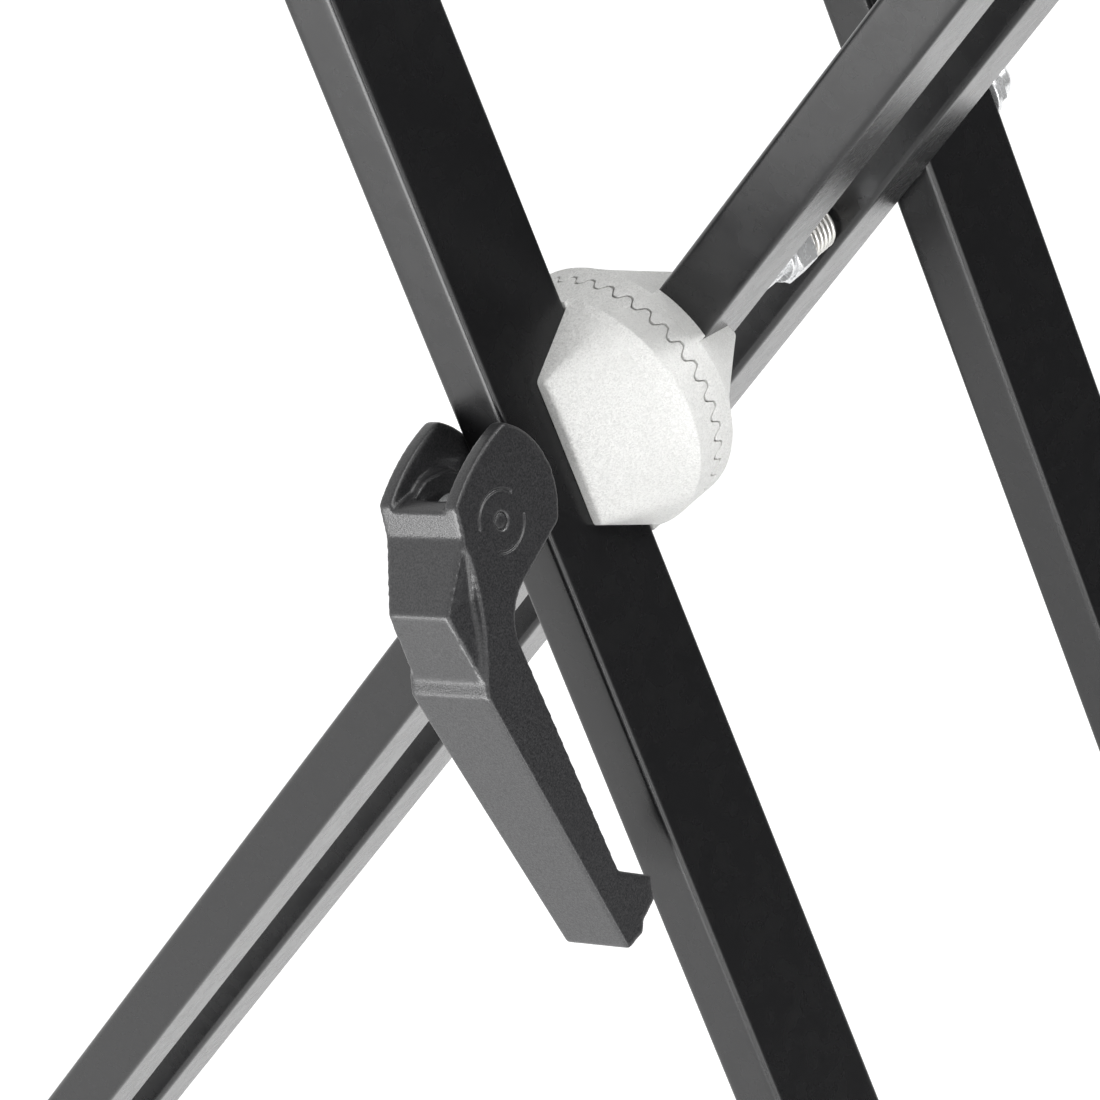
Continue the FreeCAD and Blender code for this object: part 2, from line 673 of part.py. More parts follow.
rear_hexagon = make_hexagon("rear_nut", size["rear_nut_thickness"], rear_nut_y)
dome = doc.addObject("Part::Sphere", "rear_nut_dome")
bind(dome, "Radius", size["rear_nut_dome"])
place(dome, 0, axle_end_y, pivot_height)
rear_solid = combined("Part::MultiFuse", "rear_nut_solid", [rear_hexagon, dome])
thread_start_y = rear_nut_y - size["rear_nut_dome"]
rear_thread = cylinder_y("rear_nut_thread", size["axle_radius"], axle_end_y - thread_start_y,
                         0, thread_start_y, pivot_height)
named(cut_away("rear_nut_cut", rear_solid, rear_thread), "rear_nut")


# Release spring: one wire wound by formula, ground flat at both ends.
def make_spring():
    wire_radius = value("spring_wire_radius")
    mean = value("spring_radius") - wire_radius
    length = value("spring_length")
    turns = value("spring_turns")
    first = wire_radius - value("spring_end_cut")
    pitch = (length - 2 * first) / turns
    self_gap = pitch * math.cos(math.atan2(pitch, 2 * math.pi * mean)) - 2 * wire_radius
    print("release spring: gap between turns %.2f mm" % self_gap)

    def on_coil(turn):
        angle = 2 * math.pi * turn
        return Vector(mean * math.cos(angle), first + pitch * turn, mean * math.sin(angle))

    edges = []
    for quarter in range(int(round(turns * 4))):
        stations = [on_coil(quarter / 4), on_coil((quarter + 1 / 2) / 4), on_coil((quarter + 1) / 4)]
        edges.append(Part.Arc(*stations).toShape())
    path = Part.Wire(edges)
    start = path.Edges[0].tangentAt(path.Edges[0].FirstParameter)
    section = Part.Wire(Part.makeCircle(wire_radius, on_coil(0), start))
    shell = Part.BRepOffsetAPI.MakePipeShell(path)
    shell.add(section)
    shell.build()
    shell.makeSolid()
    keep = Part.makeCylinder(value("spring_radius") * 2, length, Vector(0, 0, 0), Vector(0, 1, 0))
    spring = doc.addObject("Part::Feature", "release_spring")
    spring.Shape = shell.shape().common(keep)
    start_y = nut_y + size["nut_thickness"]
    spring.Placement = FreeCAD.Placement(Vector(0, start_y.value, pivot_height.value), FreeCAD.Rotation())
    return named(spring, "release_spring")


make_spring()


# Cam lever: one casting with two cheeks astride the leg, two cams between them, a hump on
# the front and a hollow handle that ends in a hook. In its own frame the lever hangs along
# the leg, with Y out of the leg's front pointing to -Y and the axle at the origin.
def lever_point(name, radius=None):
    return (-size[name + "_out"], -size[name + "_down"], radius)


def make_lever():
    body = doc.addObject("PartDesign::Body", "lever_casting")
    side = new_sketch(body, "YZ_Plane", "lever_side")
    arcs = {"lever_neck_end": -size["lever_neck_arc"], "lever_cheek_end": size["lever_cheek_arc"]}
    draw_outline(side, [lever_point(name, arcs.get(name)) for name, down, out in LEVER_OUTLINE])
    pad(body, side, size["lever_half_width"] * 2)

    taper = new_sketch(body, "XZ_Plane", "lever_taper")
    start, end = -size["lever_step_down"], -size["lever_tip_front_down"]
    outside = size["lever_half_width"] + size["overrun"]
    slope = (size["lever_half_width"] - size["lever_tip_half_width"]) / (start - end)
    beyond = size["lever_tip_half_width"] - slope * size["overrun"]
    for sign in (-1, 1):
        draw_outline(taper, [(size["lever_half_width"] * sign, start, None),
                             (beyond * sign, end - size["overrun"], None),
                             (outside * sign, end - size["overrun"], None),
                             (outside * sign, start, None)])
    pocket(body, taper, (size["lever_peak_out"] + size["overrun"]) * 2)

    cheek_gap = size["leg_width"] + size["lever_side_play"] * 2
    space_front = size["lever_wall"] - size["lever_top_front_out"]
    space_top = size["lever_cheek_arc"] + size["overrun"]
    space = [(space_front, -size["lever_neck_start_down"], None),
             (size["lever_cheek_arc"], -size["lever_neck_start_down"], None),
             (size["lever_cheek_arc"], space_top, None), (space_front, space_top, None)]
    leg_space = new_sketch(body, "YZ_Plane", "lever_leg_space")
    draw_outline(leg_space, space)
    pocket(body, leg_space, cheek_gap)

    hollow = new_sketch(body, "YZ_Plane", "lever_hollow")
    wall = size["lever_wall"]
    front_slope = (size["lever_step_out"] - size["lever_tip_front_out"]) / (start - end)
    hollow_end = size["lever_hook_root_down"] - wall
    deep = size["lever_step_out"] - wall
    shallow = deep - front_slope * (hollow_end - size["lever_step_down"])
    draw_outline(hollow, [(-deep, start, None), (-shallow, -hollow_end, None),
                          (-size["lever_hook_start_out"], -hollow_end, None),
                          (-size["lever_hook_start_out"], start, None)])
    pocket(body, hollow, (size["lever_tip_half_width"] - wall) * 2)

    # The cams are round but off-centre, so that a quarter turn lets the axle back by its travel.
    cams = new_sketch(body, "YZ_Plane", "lever_cams")
    half_swing = size["cam_swing_angle"] / 2
    throw = size["release_travel"] / 2 / sine(half_swing)
    contact = size["pin_height"] - size["seat_thickness"] - size["cam_gap"]
    cam_out = size["pin_height"] - throw * cosine(half_swing)
    cam_down = throw * sine(half_swing)
    draw_circle(cams, -cam_out, -cam_down, contact - throw * cosine(half_swing))
    pad(body, cams, cheek_gap)
    ledge = new_sketch(body, "YZ_Plane", "lever_ledge")
    ledge_top = -size["lever_ledge_down"]
    front_inside = space_front - size["overrun"]
    draw_outline(ledge, [(-cam_out, ledge_top, None), (-cam_out, -cam_down, None),
                         (front_inside, -cam_down, None), (front_inside, ledge_top, None)])
    pad(body, ledge, cheek_gap)
    slot = new_sketch(body, "YZ_Plane", "lever_slot")
    slot_front = -size["lever_slot_front"]
    draw_outline(slot, [(slot_front, -size["lever_neck_start_down"], None), space[1], space[2],
                        (slot_front, space_top, None)])
    pocket(body, slot, size["lever_slot_half_width"] * 2)
    mouth = new_sketch(body, "YZ_Plane", "lever_mouth")
    outside_front = -(size["lever_top_front_out"] + size["lever_wall"])
    draw_outline(mouth, [(outside_front, ledge_top, None), (-size["lever_slot_front"], ledge_top, None),
                         (-size["lever_slot_front"], space_top, None), (outside_front, space_top, None)])
    pocket(body, mouth, cheek_gap)

    hole = new_sketch(body, "YZ_Plane", "lever_pin_hole")
    draw_circle(hole, -size["pin_height"], 0, size["pin_radius"])
    pocket(body, hole, (size["lever_half_width"] + size["overrun"]) * 2)
    return body


def side_hollow(side):
    """Hollow beside the hump: its floor falls from both ends to the line behind the peak."""
    face = value("lever_half_width")
    reach = face + value("overrun")
    front = value("lever_peak_out") + value("lever_wall")

    def lever_spot(across, out, down):
        return Vector(side * across, -out, -down)

    brow_down, peak_down, end_down = [value("lever_%s_down" % name) for name in ("brow", "peak", "hump_end")]
    brow_out, end_out = value("lever_brow_out"), value("lever_hump_end_out")
    rear_edge = Part.Arc(lever_spot(0, brow_out, brow_down), lever_spot(0, value("hump_valley_out"), peak_down),
                         lever_spot(0, end_out, end_down)).toShape()
    corners = [lever_spot(0, end_out, end_down), lever_spot(0, front, end_down),
               lever_spot(0, front, brow_down), lever_spot(0, brow_out, brow_down)]
    sides = [Part.LineSegment(start, end).toShape() for start, end in zip(corners, corners[1:])]
    hollow = Part.Face(Part.Wire([rear_edge] + sides)).extrude(Vector(side * reach, 0, 0))
    peak = lever_spot(value("hump_peak_half_width"), value("lever_peak_out"), peak_down)
    valley = lever_spot(value("hump_valley_half_width"), value("hump_valley_out"), peak_down)
    for across, out, down in ((face, brow_out, brow_down),
                              (value("hump_end_half_width"), end_out, end_down)):
        end = lever_spot(across, out, down)
        inward = (peak - end).cross(valley - end).normalize() * reach
        if inward.x * side > 0:
            inward = -inward
        middle = (end + peak + valley) / 3
        corners = [middle + (corner - middle) * reach for corner in (end, peak, valley)]
        floor = Part.Face(Part.makePolygon(corners + corners[:1]))
        hollow = hollow.cut(floor.extrude(inward * 2))
    return hollow


lever_body = make_lever()
hollows = []
for side in (-1, 1):
    hollow = doc.addObject("Part::Feature", "lever_side_hollow")
    hollow.Shape = side_hollow(side)
    hollows.append(hollow)
hollow_pair = combined("Part::MultiFuse", "lever_side_hollows", hollows)
lever = cut_away("lever_cut", lever_body, hollow_pair)
place(lever, 0, outer_front_y, pivot_height, LEAN_LEFT, size["leg_lean_angle"])
named(lever, "cam_lever")

# The lever pin lies across the leg, so it tips down with the lean.
pin_half = size["lever_half_width"] - size["pin_inset"]
pin = doc.addObject("Part::Cylinder", "lever_pin")
bind(pin, "Radius", size["pin_radius"])
bind(pin, "Height", pin_half * 2)
place(pin, -(pin_half * cosine(size["leg_lean_angle"])), outer_front_y - size["pin_height"],
      pivot_height - pin_half * sine(size["leg_lean_angle"]), Vector(0, 1, 0),
      QUARTER_TURN - size["leg_lean_angle"])
named(pin, "lever_pin")

# Check every object, then write each sub-part to its own file.
doc.recompute()
for thing in doc.Objects:
    if "Invalid" in thing.State or "Error" in thing.State:
        raise RuntimeError("%s: %s %s" % (thing.Label, thing.State, thing.getStatusString()))
os.makedirs("parts", exist_ok=True)
for thing in nodes:
    shape = thing.Shape
    if shape.isNull() or not shape.isValid() or not shape.Solids:
        raise RuntimeError(thing.Label + " has no valid solid")
    shape.exportStep(os.path.join("parts", thing.Label + ".step"))
print("%d nodes written" % len(nodes))
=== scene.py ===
"""X-frame keyboard stand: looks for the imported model.

Lengths in this file are millimetres until a mesh is made. Every piece is built in the
part's frame, at the place of the CAD node that it stands for.
"""
import json
import math

import bmesh
import bpy
from mathutils import Matrix, Vector

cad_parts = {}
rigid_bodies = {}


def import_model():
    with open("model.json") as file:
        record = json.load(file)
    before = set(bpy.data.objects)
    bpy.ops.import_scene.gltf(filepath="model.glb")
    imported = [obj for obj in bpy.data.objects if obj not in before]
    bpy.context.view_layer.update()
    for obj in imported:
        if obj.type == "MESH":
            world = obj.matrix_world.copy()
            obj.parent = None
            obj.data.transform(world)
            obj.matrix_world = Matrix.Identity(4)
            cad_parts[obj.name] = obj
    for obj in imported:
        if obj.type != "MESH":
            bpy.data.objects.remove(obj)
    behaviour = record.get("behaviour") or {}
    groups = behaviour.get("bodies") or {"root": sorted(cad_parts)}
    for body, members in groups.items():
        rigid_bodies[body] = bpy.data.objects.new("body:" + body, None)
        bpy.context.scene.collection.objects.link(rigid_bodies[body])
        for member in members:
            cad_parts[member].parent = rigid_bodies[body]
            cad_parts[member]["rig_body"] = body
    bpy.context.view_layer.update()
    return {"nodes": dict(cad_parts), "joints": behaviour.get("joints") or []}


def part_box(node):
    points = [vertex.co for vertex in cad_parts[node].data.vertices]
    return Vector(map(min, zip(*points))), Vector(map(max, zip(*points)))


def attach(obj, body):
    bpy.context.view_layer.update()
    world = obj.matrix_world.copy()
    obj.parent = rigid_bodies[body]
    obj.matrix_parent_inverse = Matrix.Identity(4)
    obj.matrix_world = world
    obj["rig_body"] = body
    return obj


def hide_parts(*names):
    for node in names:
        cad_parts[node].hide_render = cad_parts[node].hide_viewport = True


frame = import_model()
MM = 0.001
joints = {joint["name"]: joint for joint in frame["joints"]}
pivot = Vector(joints["fold"]["pos_m"]) / MM
LEAN = math.radians(27.08)
UPRIGHT = Matrix.Translation(pivot)
OUTER = UPRIGHT @ Matrix.Rotation(-LEAN, 4, "Y")
INNER = UPRIGHT @ Matrix.Rotation(LEAN, 4, "Y")
# Points nearer than this are one point, and a rounded corner takes at most this share of a side.
MERGE, CORNER_SHARE = 0.002, 0.48


# Finishes.
def srgb(code):
    """Linear colour of an sRGB hex value."""
    parts = [int(code[start:start + 2], 16) / 255 for start in (1, 3, 5)]
    return [part / 12.92 if part <= 0.04045 else ((part + 0.055) / 1.055) ** 2.4 for part in parts] + [1]


def add(tree, kind, links=(), **settings):
    """Add a node; settings are its own, links are (input, value or socket)."""
    families = ("ShaderNode",) if tree.type == "SHADER" else ("GeometryNode", "ShaderNode", "Node")
    family = next(family for family in families if hasattr(bpy.types, family + kind))
    node = tree.nodes.new(family + kind)
    for name, value in settings.items():
        setattr(node, name, value)
    for name, value in links:
        if isinstance(value, bpy.types.NodeSocket):
            tree.links.new(value, node.inputs[name])
        else:
            node.inputs[name].default_value = value
    return node


def new_finish(name, colour, roughness, metallic=0.0, ior=1.5):
    """Material with its shader, and the object coordinates that its patterns read."""
    material = bpy.data.materials.new(name)
    material.use_nodes = True
    tree = material.node_tree
    shader = tree.nodes["Principled BSDF"]
    shader.inputs["Base Color"].default_value = srgb(colour)
    shader.inputs["Roughness"].default_value = roughness
    shader.inputs["Metallic"].default_value = metallic
    if not metallic:
        shader.inputs["IOR"].default_value = ior
    place = add(tree, "TexCoord").outputs["Object"]
    return material, tree, shader, place


def cloud(tree, place, width, detail=2.0, roughness=0.5):
    """Soft noise whose lumps are about this many millimetres wide."""
    node = add(tree, "TexNoise", [("Vector", place), ("Scale", 1 / (width * MM)),
                                  ("Detail", detail), ("Roughness", roughness)])
    return node.outputs["Fac"]


def spread(tree, value, low, high):
    """Stretch a noise value to the range low to high."""
    return add(tree, "MapRange", [("Value", value), ("From Min", 0.3), ("From Max", 0.7),
                                  ("To Min", low), ("To Max", high)]).outputs["Result"]


def tint(tree, value, dark, light):
    return add(tree, "Mix", [("Factor", value), ("A", srgb(dark)), ("B", srgb(light))],
               data_type="RGBA").outputs["Result"]


def relief(tree, shader, *layers):
    """Bump layers (height, depth in millimetres), the first one coarsest."""
    normal = None
    for height, depth in layers:
        links = [("Height", height), ("Distance", depth * MM), ("Strength", 1.0)]
        if normal is not None:
            links.append(("Normal", normal))
        normal = add(tree, "Bump", links).outputs["Normal"]
    tree.links.new(normal, shader.inputs["Normal"])


def join(tree, shader, name, value):
    tree.links.new(value, shader.inputs[name])


def black_powder_coat():
    # Satin black polyester powder, sprayed and baked: faint orange peel, soft broad sheen.
    material, tree, shader, place = new_finish("satin_black_powder_coat", "#17171a", 0.26, ior=1.43)
    dust = cloud(tree, place, 0.5, 3)
    join(tree, shader, "Base Color", tint(tree, dust, "#111112", "#1d1d1e"))
    join(tree, shader, "Roughness", spread(tree, cloud(tree, place, 6), 0.25, 0.29))
    relief(tree, shader, (cloud(tree, place, 2.2), 0.012), (cloud(tree, place, 0.45), 0.006))
    return material


def silver_flake_paint():
    # Silver flake paint baked on a zinc die casting: pale, grainy, with fine glitter.
    material, tree, shader, place = new_finish("silver_flake_paint", "#dedede", 0.54, 0.05)
    flakes = add(tree, "TexVoronoi", [("Vector", place), ("Scale", 1 / (0.3 * MM))])
    join(tree, shader, "Base Color", tint(tree, flakes.outputs["Color"], "#cdcdcb", "#eeeeec"))
    tilt = add(tree, "VectorMath", [(0, flakes.outputs["Color"]), (1, (0.5, 0.5, 0.5))],
               operation="SUBTRACT").outputs[0]
    tilt = add(tree, "VectorMath", [(0, tilt), ("Scale", 0.3)], operation="SCALE").outputs[0]
    facing = add(tree, "NewGeometry").outputs["Normal"]
    leaning = add(tree, "VectorMath", [(0, facing), (1, tilt)], operation="ADD").outputs[0]
    leaning = add(tree, "VectorMath", [(0, leaning)], operation="NORMALIZE").outputs[0]
    cast = add(tree, "Bump", [("Height", cloud(tree, place, 1.6)), ("Distance", 0.012 * MM),
                              ("Normal", leaning)]).outputs["Normal"]
    join(tree, shader, "Normal", cast)
    return material


def grey_textured_coat():
    # Dark grey fine-texture powder coat on a die-cast lever: matt, with pale specks.
    material, tree, shader, place = new_finish("grey_textured_coat", "#2b2b2c", 0.31, ior=1.53)
    specks = cloud(tree, place, 0.42, 2)
    join(tree, shader, "Base Color", tint(tree, spread(tree, specks, 0, 1), "#18181a", "#3c3c3d"))
    relief(tree, shader, (cloud(tree, place, 1.4), 0.02), (specks, 0.05))
    return material


def bright_zinc():
    # Bright zinc plate on turned steel: silvery, slightly blue, with a fine lathe grain.
    material, tree, shader, place = new_finish("bright_zinc_plate", "#e4e5e6", 0.22, 0.6)
    join(tree, shader, "Roughness", spread(tree, cloud(tree, place, 1.5, 3), 0.18, 0.32))
    stretch = add(tree, "Mapping", [("Vector", place), ("Scale", (1, 14, 1))]).outputs["Vector"]
    relief(tree, shader, (cloud(tree, stretch, 2), 0.0004))
    return material


def spring_steel():
    # Nickel-plated spring wire: drawn, bright, with faint drawing lines.
    material, tree, shader, place = new_finish("nickel_plated_wire", "#dedcd8", 0.2, 0.7)
    join(tree, shader, "Roughness", spread(tree, cloud(tree, place, 0.8), 0.1, 0.24))
    relief(tree, shader, (cloud(tree, place, 0.5), 0.003))
    return material


def foot_rubber():
    # Moulded black rubber: matt, with a little bloom.
    material, tree, shader, place = new_finish("moulded_black_rubber", "#1a1a1a", 0.78, ior=1.52)
    bloom = cloud(tree, place, 5, 4)
    join(tree, shader, "Base Color", tint(tree, spread(tree, bloom, 0, 1), "#151515", "#242423"))
    relief(tree, shader, (cloud(tree, place, 0.6), 0.02))
    return material


def arm_foam():
    # Closed-cell foam tube: black, soft to the eye, covered in fine open pores.
    material, tree, shader, place = new_finish("closed_cell_foam", "#161617", 0.92, ior=1.4)
    pores = add(tree, "TexVoronoi", [("Vector", place), ("Scale", 1 / (0.7 * MM))]).outputs["Distance"]
    join(tree, shader, "Base Color", tint(tree, pores, "#0e0e0f", "#222224"))
    relief(tree, shader, (cloud(tree, place, 4), 0.08), (pores, 0.12))
    return material


def moulded_plastic():
    # Black moulded polypropylene: low gloss, fine spark-eroded grain.
    material, tree, shader, place = new_finish("moulded_polypropylene", "#1d1d1f", 0.5, ior=1.49)
    join(tree, shader, "Roughness", spread(tree, cloud(tree, place, 3), 0.45, 0.58))
    relief(tree, shader, (cloud(tree, place, 0.5), 0.015))
    return material


def nylon():
    # Black nylon: waxy, a little shinier where it was moulded.
    material, tree, shader, place = new_finish("black_nylon", "#1c1c1c", 0.42, ior=1.53)
    join(tree, shader, "Roughness", spread(tree, cloud(tree, place, 2), 0.36, 0.5))
    relief(tree, shader, (cloud(tree, place, 0.8), 0.006))
    return material


FINISHES = {"black_tube": black_powder_coat(), "clutch_silver": silver_flake_paint(),
            "lever_grey": grey_textured_coat(), "zinc_steel": bright_zinc(),
            "spring_wire": spring_steel(), "foot_rubber": foot_rubber(), "arm_foam": arm_foam(),
            "stop_plastic": moulded_plastic(), "washer_nylon": nylon()}


# Making pieces.
def stand_in(name, shape, node, slot, place=Matrix(), sharp=38):
    """Turn a millimetre bmesh into a finished piece that stands for a CAD node."""
    shape.transform(Matrix.Scale(MM, 4) @ place)
    bmesh.ops.remove_doubles(shape, verts=shape.verts, dist=MERGE * MM)
    bmesh.ops.recalc_face_normals(shape, faces=shape.faces)
    mesh = bpy.data.meshes.new(name)
    shape.to_mesh(mesh)
    shape.free()
    mesh.materials.append(FINISHES[slot])
    mesh.shade_smooth()
    mesh.set_sharp_from_angle(angle=math.radians(sharp))
    thing = bpy.data.objects.new(name, mesh)
    bpy.context.scene.collection.objects.link(thing)
    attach(thing, frame["nodes"][node]["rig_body"])
    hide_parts(node)
    return thing


def grid(shape, rows, round_u=False, round_v=False):
    """Faces between rows of points; round_u closes each row, round_v joins last row to first."""
    made = [[shape.verts.new(point) for point in row] for row in rows]
    if round_v:
        made.append(made[0])
    for first, second in zip(made, made[1:]):
        count = len(first)
        for number in range(count if round_u else count - 1):
            after = (number + 1) % count
            corners = (first[number], first[after], second[after], second[number])
            if len(set(corners)) == 4:
                shape.faces.new(corners)
    return made


def softened(points, steps=4, closed=True):
    """Round the corners of an outline of (coordinates ..., corner radius)."""
    result = []
    count = len(points)
    places = [Vector(point[:-1]) for point in points]
    for number, here in enumerate(places):
        radius = points[number][-1]
        if not radius or (not closed and number in (0, count - 1)):
            result.append(here)
            continue
        before = places[number - 1] - here
        after = places[(number + 1) % count] - here
        half_turn = before.angle(after, math.pi) / 2
        most = min(before.length, after.length) * CORNER_SHARE
        reach_out = min(radius / math.tan(half_turn), most)
        start = here + before.normalized() * reach_out
        end = here + after.normalized() * reach_out
        for step in range(steps + 1):
            share = step / steps
            result.append(start * (1 - share) ** 2 + here * 2 * share * (1 - share) + end * share ** 2)
    return result


def turned(shape, profile, segments=96, steps=4, closed=True):
    """Turn an outline of (along Y, radius, corner radius) about the Y axis."""
    rows = []
    for along, radius in softened(profile, steps, closed):
        row = []
        for number in range(segments):
            angle = 2 * math.pi * number / segments
            row.append((radius * math.cos(angle), along, radius * math.sin(angle)))
        rows.append(row)
    grid(shape, rows, True, closed)
    return shape


def spot(x, y, z):
    return Matrix.Translation(Vector((x, y, z)))


def middle(node):
    """Middle of a CAD node in millimetres."""
    low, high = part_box(node)
    return (low + high) / 2 / MM


def reach(node):
    """First and last Y of a CAD node in millimetres."""
    low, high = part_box(node)
    return low.y / MM, high.y / MM


# Legs: rectangular tube with rounded corners, coped onto the round tubes and welded.
LEG_WIDTH, LEG_DEPTH, LEG_CORNER = 15, 30, 1.7
FOOT_REACH, ARM_REACH, BAR_RADIUS, ARM_RADIUS, ROUND_WALL = 660, 390, 12.5, 11, 1.2
WELD_RADIUS, WELD_SPACING, WELD_PROUD = 1.5, 0.6, 0.2


def leg_outline(grow=0.0, spacing=1.5):
    """Points round the leg's section, as (across, along Y)."""
    across, deep = LEG_WIDTH / 2 + grow, LEG_DEPTH / 2 + grow
    corners = [(across, -deep, LEG_CORNER + grow), (across, deep, LEG_CORNER + grow),
               (-across, deep, LEG_CORNER + grow), (-across, -deep, LEG_CORNER + grow)]
    outline = []
    rounded = softened(corners, 6)
    for start, end in zip(rounded, rounded[1:] + rounded[:1]):
        parts = max(1, round((end - start).length / spacing))
        outline += [start.lerp(end, part / parts) for part in range(parts)]
    return outline


def leg(node, place):
    shape = bmesh.new()
    rows = [[], []]
    for x, y in leg_outline():
        rows[0].append((x, y, math.sqrt(BAR_RADIUS ** 2 - x * x) - FOOT_REACH))
        rows[1].append((x, y, ARM_REACH - math.sqrt(ARM_RADIUS ** 2 - x * x)))
    grid(shape, rows, True)
    y = middle(node).y
    for height, radius, side in ((-FOOT_REACH, BAR_RADIUS, 1), (ARM_REACH, ARM_RADIUS, -1)):
        weld_bead(shape, height, radius, side)
    return stand_in(node + "_tube", shape, node, "black_tube", place @ spot(0, y, 0))


def weld_bead(shape, height, radius, side, segments=10):
    """Rippled fillet weld round a leg's coped end."""
    rows = []
    path = [(x, y, height + side * math.sqrt(radius ** 2 - x * x))
            for x, y in leg_outline(WELD_PROUD, WELD_SPACING)]
    for number, (x, y, z) in enumerate(path):
        before, after = Vector(path[number - 1]), Vector(path[(number + 1) % len(path)])
        along = (after - before).normalized()
        away = Vector((x, 0, z - height)).normalized()
        out = along.cross(away).normalized()
        ripple = WELD_RADIUS * (1 + 0.09 * math.sin(number * 2.1) + 0.05 * math.sin(number * 0.9 + 1))
        row = []
        for step in range(segments):
            angle = 2 * math.pi * step / segments
            row.append(Vector((x, y, z)) + (out * math.cos(angle) + away * math.sin(angle)) * ripple)
        rows.append(row)
    grid(shape, rows, True, True)


for node in ("outer_leg_front", "outer_leg_rear"):
    leg(node, OUTER)
for node in ("inner_leg_front", "inner_leg_rear"):
    leg(node, INNER)


# Foot bars and support arms, foam sleeves, end stops and foot caps.
SLEEVE_RADIUS, STOP_RADIUS, STOP_THICKNESS, STOP_PLUG = 15, 20, 6, 18
DISH_RADIUS, DISH_DEPTH = 15.4, 0.6
FOOT_RADIUS, FOOT_LENGTH, FOOT_END, FOOT_EDGE, FOOT_TREAD = 16, 24, 3.5, 1.8, 1.8
GRIP_COUNT, GRIP_PITCH, GRIP_MOUTH, GRIP_FLOOR, GRIP_DEPTH = 3, 6, 1.5, 0.75, 0.9


def round_tube(node, radius):
    start, end = reach(node)
    centre = middle(node)
    bore = radius - ROUND_WALL
    shape = turned(bmesh.new(), [(start, bore, 0), (end, bore, 0.3), (end, radius, 0.4),
                                 (start, radius, 0.4)])
    return stand_in(node + "_tube", shape, node, "black_tube", spot(centre.x, 0, centre.z))


def foam_sleeve(node):
    start, end = reach(node)
    centre = middle(node)
    shape = turned(bmesh.new(), [(start, ARM_RADIUS, 0), (end, ARM_RADIUS, 0), (end, SLEEVE_RADIUS, 1.2),
                                 (start, SLEEVE_RADIUS, 1.2)])
    sleeve = stand_in(node + "_foam", shape, node, "arm_foam", spot(centre.x, 0, centre.z))
    return sleeve


def placed(profile, face, facing):
    """An outline drawn from a piece's outer end face, moved to that face and turned its way."""
    return [(face + along * facing, radius, corner) for along, radius, corner in profile]


def end_stop(node, facing):
    """Moulded stop with a dished flange, whose plug fills the arm's bore."""
    start, end = reach(node)
    centre = middle(node)
    bore = ARM_RADIUS - ROUND_WALL
    inside = -STOP_THICKNESS - STOP_PLUG
    profile = [(inside, 0, 0), (inside, bore, 0.8), (-STOP_THICKNESS, bore, 0),
               (-STOP_THICKNESS, STOP_RADIUS, 1.5), (0, STOP_RADIUS, 2.2), (0, DISH_RADIUS, 0.4),
               (-DISH_DEPTH, DISH_RADIUS - DISH_DEPTH, 0.3), (-DISH_DEPTH, 0, 0)]
    shape = turned(bmesh.new(), placed(profile, end if facing > 0 else start, facing), closed=False)
    return stand_in(node + "_moulding", shape, node, "stop_plastic", spot(centre.x, 0, centre.z))


def foot_cap(node, facing):
    """Rubber cap with grip grooves round it and a flat tread under it."""
    start, end = reach(node)
    centre = middle(node)
    height = FOOT_RADIUS - FOOT_TREAD
    profile = [(-FOOT_LENGTH, BAR_RADIUS, 0.3), (-FOOT_END, BAR_RADIUS, 0), (-FOOT_END, 0, 0), (0, 0, 0),
               (0, FOOT_RADIUS - FOOT_EDGE, 0.5), (-FOOT_EDGE, FOOT_RADIUS, 1.0)]
    for number in range(GRIP_COUNT, 0, -1):
        groove = GRIP_PITCH * number - FOOT_LENGTH
        profile += [(groove + GRIP_MOUTH, FOOT_RADIUS, 0.3),
                    (groove + GRIP_FLOOR, FOOT_RADIUS - GRIP_DEPTH, 0.3),
                    (groove - GRIP_FLOOR, FOOT_RADIUS - GRIP_DEPTH, 0.3),
                    (groove - GRIP_MOUTH, FOOT_RADIUS, 0.3)]
    profile.append((-FOOT_LENGTH, FOOT_RADIUS, 0.8))
    shape = turned(bmesh.new(), placed(profile, end if facing > 0 else start, facing), segments=128, steps=3)
    bmesh.ops.remove_doubles(shape, verts=shape.verts, dist=MERGE)
    everything = shape.verts[:] + shape.edges[:] + shape.faces[:]
    cut = bmesh.ops.bisect_plane(shape, geom=everything, plane_co=(0, 0, -height), plane_no=(0, 0, -1),
                                 clear_outer=True)["geom_cut"]
    bmesh.ops.holes_fill(shape, edges=[part for part in cut if isinstance(part, bmesh.types.BMEdge)])
    return stand_in(node + "_rubber", shape, node, "foot_rubber", spot(centre.x, 0, height))


for side in ("outer", "inner"):
    round_tube(side + "_foot_bar", BAR_RADIUS)
    round_tube(side + "_support_arm", ARM_RADIUS)
    for end, facing in (("front", -1), ("rear", 1)):
        foot_cap("%s_foot_cap_%s" % (side, end), facing)
        foam_sleeve("%s_arm_sleeve_%s" % (side, end))
        end_stop("%s_arm_stop_%s" % (side, end), facing)


# Geometry Nodes that repeat or sweep a piece, and the plain mesh that they give.
def new_tree(name, **sizes):
    """Geometry tree with a geometry input and named inputs for its sizes."""
    tree = bpy.data.node_groups.new(name, "GeometryNodeTree")
    tree.interface.new_socket("Geometry", in_out="INPUT", socket_type="NodeSocketGeometry")
    for label, value in sizes.items():
        kind = "NodeSocketInt" if isinstance(value, int) else "NodeSocketFloat"
        tree.interface.new_socket(label, in_out="INPUT", socket_type=kind).default_value = value
    tree.interface.new_socket("Geometry", in_out="OUTPUT", socket_type="NodeSocketGeometry")
    return tree, add(tree, "GroupInput").outputs


